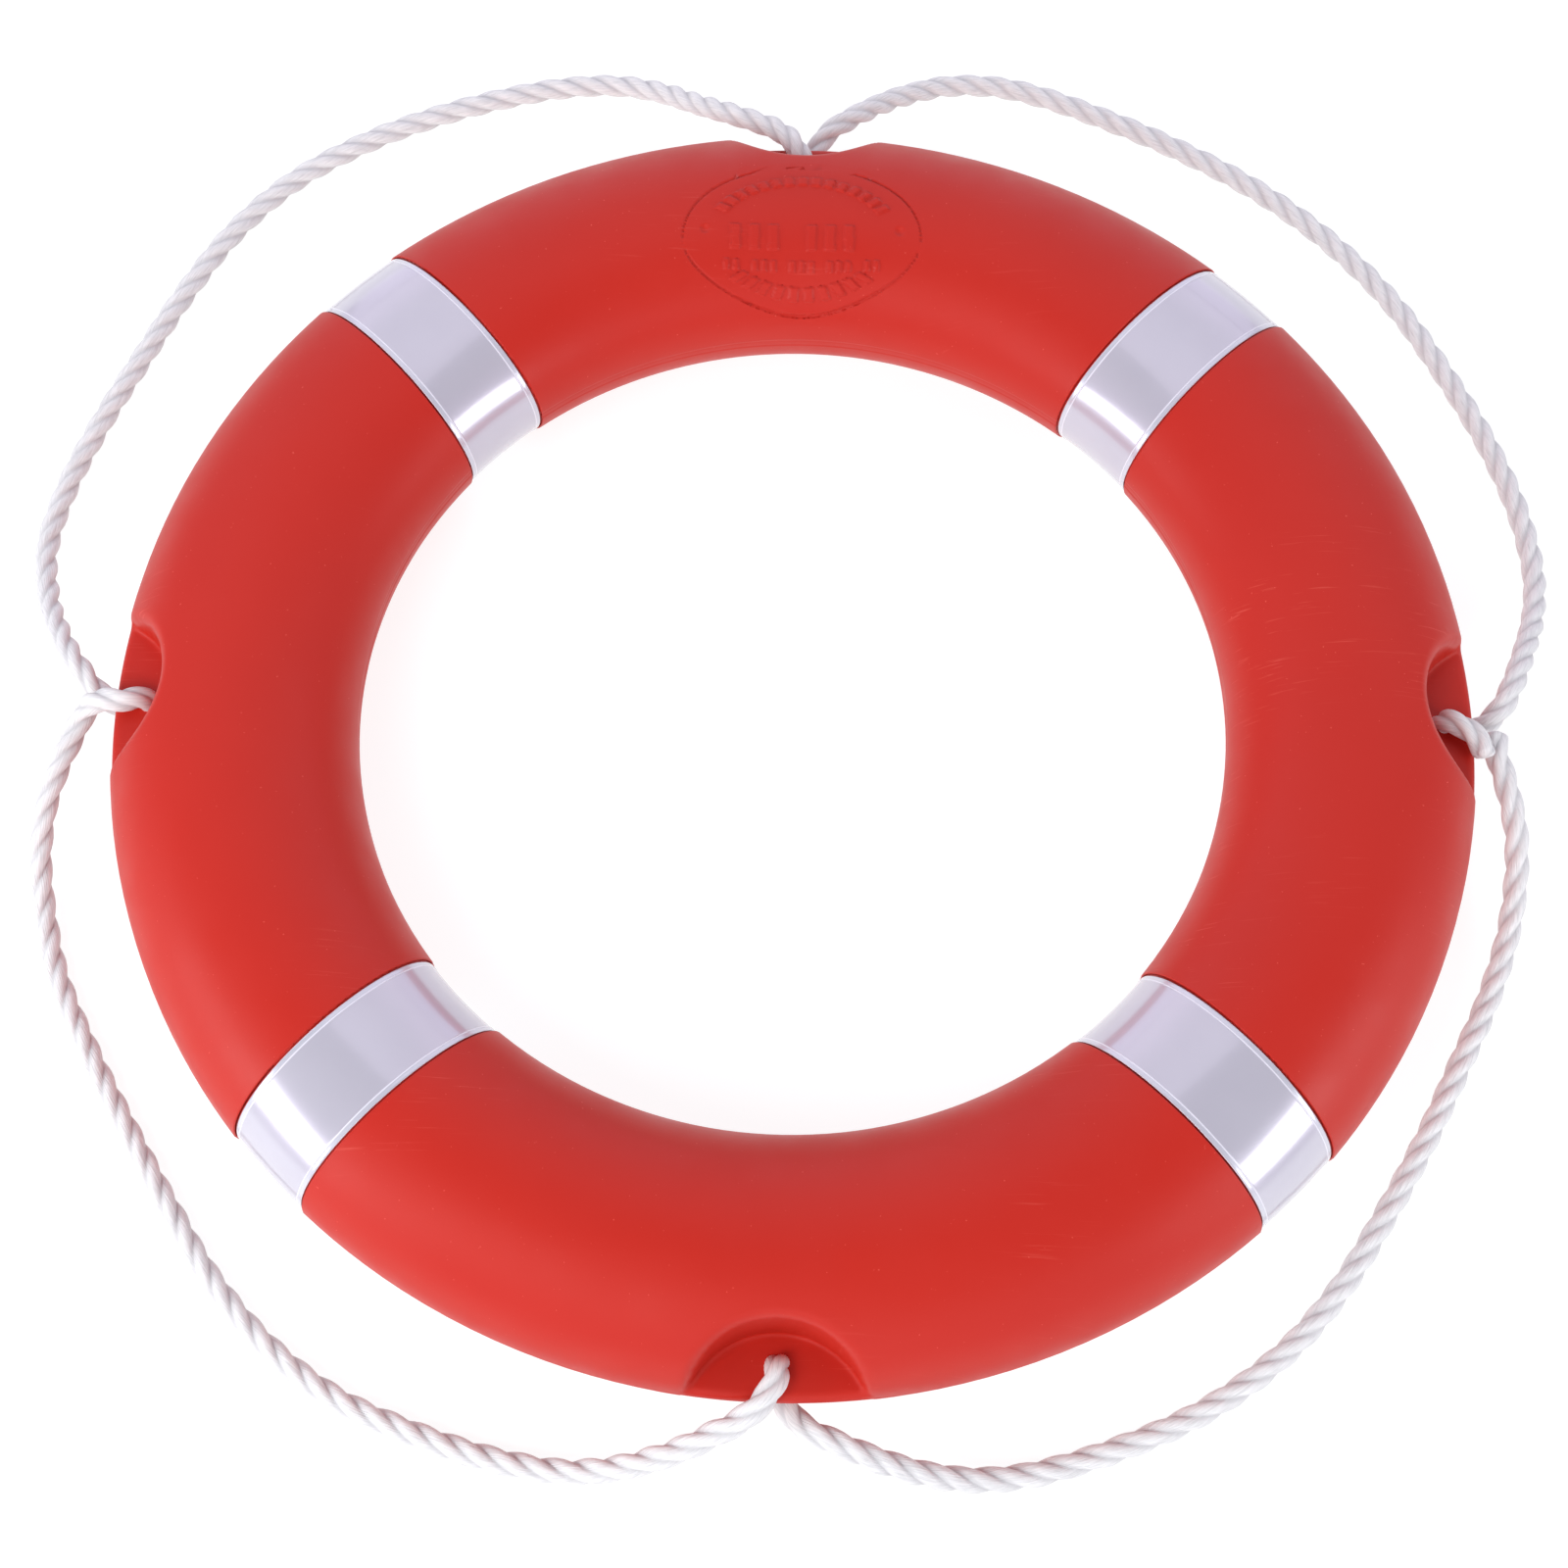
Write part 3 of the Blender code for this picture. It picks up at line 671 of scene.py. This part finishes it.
class Line:
    """The grab line as even steps along one curve, each with a side and an up vector carried on untwisted."""

    def __init__(self, samples):
        fine = np.array([tuple(sample) for sample in samples])
        fine[:, 2] = np.maximum(fine[:, 2], ROPE_RADIUS)
        self.reached = np.concatenate([[0], np.cumsum(np.linalg.norm(np.diff(fine, axis=0), axis=1))])
        count = int(round(self.reached[-1] / ROPE_STEP)) + 1
        self.distances = np.linspace(0, self.reached[-1], count)
        self.points = np.stack(
            [np.interp(self.distances, self.reached, fine[:, axis]) for axis in range(3)], axis=1
        )
        tangents = np.gradient(self.points, axis=0)
        tangents /= np.linalg.norm(tangents, axis=1)[:, None]
        side = np.cross(tangents[0], (0.0, 0.0, 1.0))
        sides = []
        for tangent in tangents:
            side = side - tangent * (side @ tangent)
            side /= np.linalg.norm(side)
            sides.append(side)
        self.sides = np.array(sides)
        self.ups = np.cross(tangents, self.sides)


def rope_section(angles):
    """Distance from the rope's middle to its surface, where the crowns of the strands are at whole thirds."""
    third = 2 * math.pi / STRANDS
    from_crown = (angles + third / 2) % third - third / 2
    reach = STRAND_OFFSET * np.sin(from_crown)
    return STRAND_OFFSET * np.cos(from_crown) + np.sqrt(STRAND_RADIUS ** 2 - reach ** 2)


def piece_ends(line, low, high, free):
    """The widths at each step of a piece, and which steps it has.

    A jointed end goes on into its neighbour as a dome that fills the bend when the joint turns. A free end
    is rounded over.
    """
    from_low = low - line.distances
    from_high = line.distances - high
    widths = np.ones(len(line.distances))
    for beyond, is_free in ((from_low, free[0]), (from_high, free[1])):
        if is_free:
            inward = np.clip(1 + beyond / END_ROUNDING, 0, NEARLY_ONE)
            widths *= np.sqrt(1 - inward ** 2)
        else:
            outward = np.clip(beyond / JOINT_DOME, 0, NEARLY_ONE)
            widths *= np.where(beyond > 0, JOINT_DOME_WIDTH * np.sqrt(1 - outward ** 2), 1)
    reach = [0 if is_free else JOINT_DOME for is_free in free]
    steps = np.nonzero((from_low <= reach[0]) & (from_high <= reach[1]))[0]
    return widths, steps


def rope_mesh(name, line, low, high, free, material):
    """A laid rope along one stretch of the line, with lengths round it and along it as its UV map."""
    widths, steps = piece_ends(line, low, high, free)
    around = 2 * math.pi * np.arange(ROPE_SIDES) / ROPE_SIDES
    twist = 2 * math.pi * line.distances[steps] / ROPE_LAY
    radius = rope_section(around[None, :] - twist[:, None])
    radius = (radius + (np.cos(YARNS * around)[None, :] - 1) * YARN_HEIGHT) * widths[steps][:, None]
    offsets = (
        line.sides[steps][:, None, :] * (radius * np.cos(around))[:, :, None]
        + line.ups[steps][:, None, :] * (radius * np.sin(around))[:, :, None]
    )
    vertices = (line.points[steps][:, None, :] + offsets).reshape(-1, 3)
    faces = []
    lengths = []
    for ring in range(len(steps) - 1):
        here = ring * ROPE_SIDES
        there = here + ROPE_SIDES
        near, far = line.distances[steps[ring]], line.distances[steps[ring + 1]]
        for side in range(ROPE_SIDES):
            after = (side + 1) % ROPE_SIDES
            faces.append((here + side, here + after, there + after, there + side))
            low_side, high_side = side / ROPE_SIDES, (side + 1) / ROPE_SIDES
            lengths += [(low_side, near), (high_side, near), (high_side, far), (low_side, far)]
    faces.append(tuple(reversed(range(ROPE_SIDES))))
    faces.append(tuple(range((len(steps) - 1) * ROPE_SIDES, len(steps) * ROPE_SIDES)))
    lengths += [(0, 0)] * (2 * ROPE_SIDES)
    mesh = bpy.data.meshes.new(name)
    mesh.from_pydata(vertices.tolist(), [], faces)
    layer = mesh.uv_layers.new(name="lengths")
    flat = np.array(lengths) * (2 * math.pi * ROPE_RADIUS, 1)
    layer.data.foreach_set("uv", flat.astype(np.float32).ravel())
    mesh.shade_smooth()
    return add_object(name, mesh, material), line.points[steps]


def make_grab_line(material):
    route, pieces = line_route()
    line = Line(smooth_curve(route))
    for name, (first, last) in pieces.items():
        low, high = (line.reached[number * CURVE_SAMPLES] for number in (first, last))
        free = (name == "turn_right", name == "splice_right")
        rope, points = rope_mesh("grab_line_" + name, line, low, high, free, material)
        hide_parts("rope_" + name)
        if name.startswith("span_"):
            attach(rope, name)
        else:
            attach(rope, "ring")


# ---------------------------------------------------------------- moulded shell


def smooth_step(value):
    value = np.clip(value, 0, 1)
    return value * value * (3 - 2 * value)


def rounded_max(first, second, radius):
    """The larger of two distances, with the edge where they meet rounded off."""
    inside = np.minimum(np.maximum(first, second), -radius)
    return inside + np.hypot(np.maximum(first + radius, 0), np.maximum(second + radius, 0))


def tube_distance(radial, height):
    """Distance out from the elliptic tube's surface, true close to it."""
    across = (radial - TUBE_RADIUS) / HALF_WIDTH
    up = height / HALF_THICKNESS
    slope = 2 * np.hypot(across / HALF_WIDTH, up / HALF_THICKNESS)
    return (across ** 2 + up ** 2 - 1) / np.maximum(slope, LEAST_DIVISOR)


def scallop_distance(along, across, height):
    """Distance out from the nearer scallop of an anchor: a drafted round wall down to the web."""
    reach = np.hypot(along - SCALLOP_CENTRE, across)
    wall = reach - SCALLOP_FLOOR_RADIUS - (height - WEB_HALF) * SCALLOP_DRAFT
    return rounded_max(wall, WEB_HALF - height, FLOOR_FILLET)


def folded(azimuth, offset=0.0):
    """An azimuth in radians, measured from the nearest of four directions a quarter turn apart."""
    quarter = math.pi / 2
    return (azimuth - offset + quarter / 2) % quarter - quarter / 2


def groove_depth(radial, azimuth):
    """Depth of the reflective bands' grooves, whose edges are parallel."""
    from_band = np.abs(radial * np.sin(folded(azimuth, math.pi / 4)))
    groove = GROOVE_DEPTH * smooth_step((GROOVE_HALF + GROOVE_RAMP - from_band) / GROOVE_RAMP)
    from_slit = np.abs(from_band - SLIT_MIDDLE) / SLIT_HALF
    return groove + SLIT_DEPTH * smooth_step(SLIT_SHARPNESS * (1 - from_slit))


def seam_depth(radial, height):
    """Parting lines: one thin line round the outside and a double line with a low land between, inside."""
    away = np.abs(height)
    outer = -OUTER_SEAM_HEIGHT * smooth_step(1 - away / OUTER_SEAM_HALF)
    inner = INNER_SEAM_DEPTH * smooth_step(1 - np.abs(away - INNER_SEAM_AWAY) / INNER_SEAM_HALF)
    land = INNER_LAND_DEPTH * smooth_step((INNER_SEAM_AWAY - away) / INNER_SEAM_HALF)
    return np.where(radial > TUBE_RADIUS, outer, inner + land)


def moulding_distance(points):
    """Distance out from the moulding's surface. Heights are measured from the ring's middle plane."""
    x, y, height = points.T
    radial = np.hypot(x, y)
    azimuth = np.arctan2(y, x)
    skin = tube_distance(radial, height) + groove_depth(radial, azimuth) + seam_depth(radial, height)
    skin = skin + badge_depth(x, y, height)
    turned = folded(azimuth)
    scallop = scallop_distance(radial * np.cos(turned), radial * np.sin(turned), np.abs(height))
    return rounded_max(skin, -scallop, LIP_RADIUS)


def bar_height(across, along, half_width, half_length):
    """A plain raised bar with soft edges, from 0 to 1."""
    outside = np.maximum(np.abs(across) - half_width, np.abs(along) - half_length)
    return smooth_step(1 - outside / BADGE_EDGE)


def badge_oval(x, y):
    """Each point's level, 1 on the badge's oval, its turn in degrees and the oval's half depth there."""
    half = np.where(y > 0, BADGE_OUTWARD, BADGE_INWARD)
    level = np.hypot(x / BADGE_HALF_WIDTH, y / half)
    return level, np.degrees(np.arctan2(x / BADGE_HALF_WIDTH, y / half)), half


def badge_bars(x, y):
    """Rows of plain bars in place of any wording: an arc above, two straight rows and an arc below."""
    raised = np.zeros_like(x)
    for row, height, half_length, pitch, half_width, count in BADGE_ROWS:
        for index in range(count):
            place = (index - (count - 1) / 2) * pitch
            if (index + row + 1) % BADGE_GAP_EVERY == 0:
                continue
            raised = np.maximum(raised, bar_height(x - place, y - height, half_width, half_length))
    level, angle, half = badge_oval(x, y)
    for middle, pitch, count in BADGE_ARCS:
        for index in range(count):
            place = (index - (count - 1) / 2) * pitch
            turn = (angle - middle - place + 180) % 360 - 180
            across = turn * math.radians(1) * level * BADGE_HALF_WIDTH * BADGE_ARC_WIDTH_SHARE
            along = (level - BADGE_ARC_LEVEL) * half * BADGE_ARC_DEPTH_SHARE
            raised = np.maximum(raised, bar_height(across, along, *BADGE_ARC_BAR))
    return raised


def badge_depth(x, y, height):
    """How far the badge goes below the skin, and above it where negative."""
    depth = np.zeros_like(x)
    near = (height > 0) & (np.abs(x) < BADGE_HALF_WIDTH * BADGE_MARGIN)
    near &= np.abs(y - BADGE_CENTRE) < BADGE_OUTWARD * BADGE_MARGIN
    if not near.any():
        return depth
    across, along = x[near], y[near] - BADGE_CENTRE
    level, _, half = badge_oval(across, along)
    slope = np.hypot(across / BADGE_HALF_WIDTH ** 2, along / half ** 2)
    slope = slope / np.maximum(level, LEAST_BADGE_DIVISOR)
    from_line = np.abs(level - 1) / np.maximum(slope, LEAST_BADGE_DIVISOR)
    sunk = BADGE_LINE_DEPTH * smooth_step(BADGE_LINE_SHOULDER - from_line / BADGE_LINE)
    sunk -= BADGE_RELIEF * badge_bars(across, along)
    from_dimple = np.hypot(np.abs(across) - BADGE_DIMPLE_REACH, along - BADGE_DIMPLE_ALONG)
    sunk += BADGE_DIMPLE_DEPTH * smooth_step(BADGE_DIMPLE_SHOULDER - from_dimple / BADGE_DIMPLE_RADIUS)
    depth[near] = sunk
    return depth


def columns():
    """The grid's u values: even steps, with more at the grooves' edges."""
    metres_per_degree = TUBE_RADIUS * math.pi / 180
    values = []
    for band in BAND_AZIMUTHS.values():
        edges = list(BAND_COLUMNS)
        edges += [SLIT_MIDDLE + SLIT_HALF * part for part in SLIT_COLUMNS]
        edges += [GROOVE_HALF + GROOVE_RAMP * part for part in RAMP_COLUMNS]
        edges = [edge / metres_per_degree for edge in edges]
        steps = int((QUARTER / 2 - edges[-1]) / COLUMN_STEP)
        edges += list(np.linspace(edges[-1], QUARTER / 2, steps + 1)[1:])
        values += [band + edge for edge in edges] + [band - edge for edge in edges[1:-1]]
    return sorted(value % 360 for value in values)


def rows():
    """The grid's v values over the face, from the inner equator to the outer one."""
    close = [distance / SIDE_LENGTH for distance in EQUATOR_ROWS]
    even = list(np.linspace(close[-1], 1 - close[-1], ROWS_PER_SIDE))
    return [0.0, *close[:-1], *even, *(1 - value for value in reversed(close[:-1])), 1.0]


def degrees_from_anchor(u):
    return (u + QUARTER / 2) % QUARTER - QUARTER / 2


def profile_at(u):
    """The section's upper half at one column, before rounding: arc length, radius and height."""
    angles = np.linspace(0, math.pi, PROFILE_SAMPLES)
    radial = TUBE_RADIUS - HALF_WIDTH * np.cos(angles)
    height = HALF_THICKNESS * np.sin(angles)
    turned = degrees_from_anchor(u)
    if abs(turned) < ANCHOR_ZONE:
        azimuth = math.radians(turned)
        reach = np.hypot(radial * math.cos(azimuth) - SCALLOP_CENTRE, radial * math.sin(azimuth))
        wall = WEB_HALF + np.maximum(reach - SCALLOP_FLOOR_RADIUS, 0) / SCALLOP_DRAFT
        height = np.minimum(height, wall)
    steps = np.hypot(np.diff(radial), np.diff(height))
    reached = np.concatenate([[0], np.cumsum(steps)])
    return reached / reached[-1], radial, height


def azimuths_at(u, radial):
    """Azimuth in radians. Near a band a column runs parallel to it, and near an anchor along a radius."""
    from_band = u % QUARTER - QUARTER / 2
    metres = from_band * TUBE_RADIUS * math.pi / 180
    parallel = np.arcsin(np.clip(metres / radial, -1, 1))
    share = smooth_step((np.abs(from_band) - STRAIGHT_BAND) / (BLENDED_BAND - STRAIGHT_BAND))
    return np.radians(u - from_band) + (1 - share) * parallel + share * np.radians(from_band)


def drawn_on_tube(u, v):
    """Points for grid values u and v, before they are drawn onto the moulding's surface."""
    places = np.zeros((len(u), 3))
    order, index = np.unique(np.round(u, KEY_PLACES), return_inverse=True)
    below = v > 1
    side = np.where(below, 2 - v, v)
    for number, column in enumerate(order):
        chosen = np.nonzero(index == number)[0]
        reached, radial, height = profile_at(column)
        radii = np.interp(side[chosen], reached, radial)
        azimuth = azimuths_at(column, radii)
        places[chosen, 0] = radii * np.cos(azimuth)
        places[chosen, 1] = radii * np.sin(azimuth)
        places[chosen, 2] = np.interp(side[chosen], reached, height) * np.where(below[chosen], -1, 1)
    return places


def drawn_onto_surface(places):
    """Moves points down the slope of the distance until they lie on the moulding's surface."""
    for _ in range(SURFACE_PASSES):
        level = moulding_distance(places)
        probes = [moulding_distance(places + offset) - level for offset in np.eye(3) * SURFACE_PROBE]
        slope = np.stack([change / SURFACE_PROBE for change in probes], axis=1)
        size = np.maximum((slope ** 2).sum(axis=1), LEAST_SLOPE)
        places = places - slope * np.clip(level / size, -LONGEST_MOVE, LONGEST_MOVE)[:, None]
    return places


def refine(grid, wanted, cuts):
    """Divides the grid's faces whose centres, as u and as drawn places, are wanted."""
    faces = list(grid.faces)
    centres = np.array([tuple(face.calc_center_median()) for face in faces])
    turned = centres[:, 0] % 360
    chosen = wanted(turned, drawn_on_tube(turned, centres[:, 1]))
    edges = {edge for face, take in zip(faces, chosen) if take for edge in face.edges}
    bmesh.ops.subdivide_edges(grid, edges=list(edges), cuts=cuts, use_grid_fill=True)


def by_anchor(u, places):
    radial = np.hypot(places[:, 0], places[:, 1])
    near = np.abs(degrees_from_anchor(u)) < ANCHOR_ZONE - ANCHOR_ZONE_MARGIN
    return near & (radial > ANCHOR_ZONE_INNER)


def by_scallop_wall(_, places):
    azimuth = folded(np.arctan2(places[:, 1], places[:, 0]))
    radial = np.hypot(places[:, 0], places[:, 1])
    along, across = radial * np.cos(azimuth), radial * np.sin(azimuth)
    beyond = np.hypot(along - SCALLOP_CENTRE, across)
    past_floor = beyond - SCALLOP_FLOOR_RADIUS
    by_wall = (past_floor > -WALL_ZONE_BEFORE) & (past_floor < WALL_ZONE_AFTER)
    from_rope = np.hypot(along - HOLE_CENTRE, across)
    by_rope = np.abs(from_rope - ROPE_ZONE_RADIUS) < ROPE_ZONE_HALF
    near = (np.abs(azimuth) < math.radians(WALL_ZONE_DEGREES)) & (radial > WALL_ZONE_INNER)
    return (by_wall | by_rope) & near


def by_badge(_, places):
    level, _, _ = badge_oval(places[:, 0], places[:, 1] - BADGE_CENTRE)
    return (level < BADGE_MARGIN) & (places[:, 2] > 0)


def shell_grid():
    """The flat (u, v) grid of the whole moulding, finer round the anchors and the badge."""
    grid = bmesh.new()
    across = columns()
    across.append(across[0] + 360)
    face_rows = rows()
    up = face_rows + [2 - value for value in reversed(face_rows[:-1])]
    lattice = [[grid.verts.new((u, v, 0)) for v in up] for u in across]
    for left, right in zip(lattice, lattice[1:]):
        for row in range(len(up) - 1):
            grid.faces.new((left[row], right[row], right[row + 1], left[row + 1]))
    refine(grid, by_anchor, ANCHOR_CUTS)
    refine(grid, by_scallop_wall, WALL_CUTS)
    refine(grid, by_badge, BADGE_CUTS)
    return grid


def make_shell(material):
    grid = shell_grid()
    flat = np.array([tuple(vertex.co) for vertex in grid.verts])
    places = drawn_onto_surface(drawn_on_tube(flat[:, 0] % 360, flat[:, 1]))
    for vertex, place in zip(grid.verts, places):
        vertex.co = place + (0, 0, MIDDLE)
    bmesh.ops.remove_doubles(grid, verts=grid.verts, dist=MERGE_DISTANCE)
    bmesh.ops.recalc_face_normals(grid, faces=grid.faces)
    mesh = bpy.data.meshes.new("shell_moulding")
    grid.to_mesh(mesh)
    grid.free()
    mesh.shade_smooth()
    shell = add_object("shell_moulding", mesh, material)
    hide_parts("shell")
    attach(shell, "ring")


# ---------------------------------------------------------------- reflective film


def film_offsets():
    """Distances from the band's middle to the film's lengthways lines, closer together at the beads."""
    beads = [BEAD_CENTRE + BEAD_HALF * part for part in BEAD_LINES]
    half = [*np.linspace(0, FILM_FLAT, FILM_FLAT_LINES), *beads, *FILM_EDGE_LINES, BAND_HALF]
    return np.array([-value for value in reversed(half[1:])] + half)


def film_wrinkles(across, angle, seed):
    """Low, soft unevenness of the film along the tube's section."""
    generator = np.random.default_rng(seed)
    total = np.zeros(np.broadcast(across, angle).shape)
    for _ in range(WRINKLES):
        waves = generator.integers(*WRINKLE_COUNTS)
        slant = generator.uniform(-WRINKLE_SLANT, WRINKLE_SLANT)
        phase = generator.uniform(0, 2 * math.pi)
        total = total + np.cos(waves * angle + slant * across + phase) / waves
    return total * WRINKLE_HEIGHT


def make_film(name, azimuth, seed, material):
    offsets = film_offsets()
    angles = 2 * math.pi * np.arange(FILM_SIDES) / FILM_SIDES
    bead = smooth_step(1 - np.abs(np.abs(offsets) - BEAD_CENTRE) / BEAD_HALF) * BEAD_HEIGHT
    edge = smooth_step((BAND_HALF - np.abs(offsets)) / FILM_EDGE)
    layers = []
    for depth, raised in ((GROOVE_DEPTH - FILM_ABOVE_GROOVE, 1), (GROOVE_DEPTH - FILM_UNDERSIDE, 0)):
        rise = (bead * edge + (edge - 1) * FILM_THICKNESS * FILM_EDGE_DROP)[:, None] * raised
        rise = rise + film_wrinkles(offsets[:, None], angles[None, :], seed) * raised
        inset = depth - rise
        radial = TUBE_RADIUS + (HALF_WIDTH - inset) * np.cos(angles)[None, :]
        height = MIDDLE + (HALF_THICKNESS - inset) * np.sin(angles)[None, :]
        turned = math.radians(azimuth) + np.arcsin(offsets[:, None] / radial)
        layers.append(np.stack([radial * np.cos(turned), radial * np.sin(turned), height], axis=2))
    lines = np.concatenate([layers[0], layers[1][::-1]])
    places = np.concatenate([offsets, offsets[::-1]])
    perimeter = math.pi * (HALF_WIDTH + HALF_THICKNESS)
    faces = []
    lengths = []
    for line in range(len(lines)):
        following = (line + 1) % len(lines)
        for side in range(FILM_SIDES):
            after = (side + 1) % FILM_SIDES
            faces.append((
                line * FILM_SIDES + side, following * FILM_SIDES + side,
                following * FILM_SIDES + after, line * FILM_SIDES + after,
            ))
            near, far = perimeter * side / FILM_SIDES, perimeter * (side + 1) / FILM_SIDES
            here, there = places[line], places[following]
            lengths += [(here, near), (there, near), (there, far), (here, far)]
    mesh = bpy.data.meshes.new(name)
    mesh.from_pydata(lines.reshape(-1, 3).tolist(), [], faces)
    layer = mesh.uv_layers.new(name="lengths")
    layer.data.foreach_set("uv", np.array(lengths, np.float32).ravel())
    shape = bmesh.new()
    shape.from_mesh(mesh)
    bmesh.ops.recalc_face_normals(shape, faces=shape.faces)
    shape.to_mesh(mesh)
    shape.free()
    mesh.shade_smooth()
    return add_object(name, mesh, material)


def make_films(material):
    for seed, (name, azimuth) in enumerate(BAND_AZIMUTHS.items()):
        film = make_film("reflective_film_" + name, azimuth, FIRST_SEED + seed, material)
        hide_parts("reflective_band_" + name)
        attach(film, "ring")


# ---------------------------------------------------------------- plugs


def make_plug(name, azimuth, flange, material):
    """A pressed-in plug's head: a low disc with a rounded rim, a shallow dish and a moulding pip in it."""
    shape = bmesh.new()
    rings = []
    turns = [2 * math.pi * side / PLUG_SIDES for side in range(PLUG_SIDES)]
    for share, added, height in PLUG_PROFILE:
        radius = flange * share + added
        rings.append([
            shape.verts.new((radius * math.cos(turn), radius * math.sin(turn), height)) for turn in turns
        ])
    for ring, following in zip(rings, rings[1:]):
        for side in range(PLUG_SIDES):
            after = (side + 1) % PLUG_SIDES
            shape.faces.new((ring[side], ring[after], following[after], following[side]))
    shape.faces.new(rings[0])
    shape.faces.new(rings[-1])
    bmesh.ops.recalc_face_normals(shape, faces=shape.faces)
    mesh = bpy.data.meshes.new(name + "_head")
    shape.to_mesh(mesh)
    shape.free()
    mesh.shade_smooth()
    mesh.set_sharp_from_angle(angle=math.radians(PLUG_SHARP_DEGREES))
    plug = add_object(name + "_head", mesh, material)
    plug.location = polar(azimuth, OUTER_RADIUS, MIDDLE)
    plug.rotation_euler = polar(azimuth, 1, 0).to_track_quat("Z", "Y").to_euler()
    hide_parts(name)
    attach(plug, "ring")


def main():
    make_camera()
    make_grab_line(rope_fibre())
    make_shell(shell_plastic())
    make_films(reflective_film())
    plastic = plug_plastic()
    for name, (azimuth, flange) in PLUGS.items():
        make_plug(name, azimuth, flange, plastic)
    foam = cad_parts["foam_core"]
    foam.data.materials.clear()
    foam.data.materials.append(foam_filling())
    make_floor()
    make_world()
    for name, settings in LIGHTS.items():
        make_light(name, *settings)
    bpy.context.scene.view_settings.view_transform = "Standard"


main()
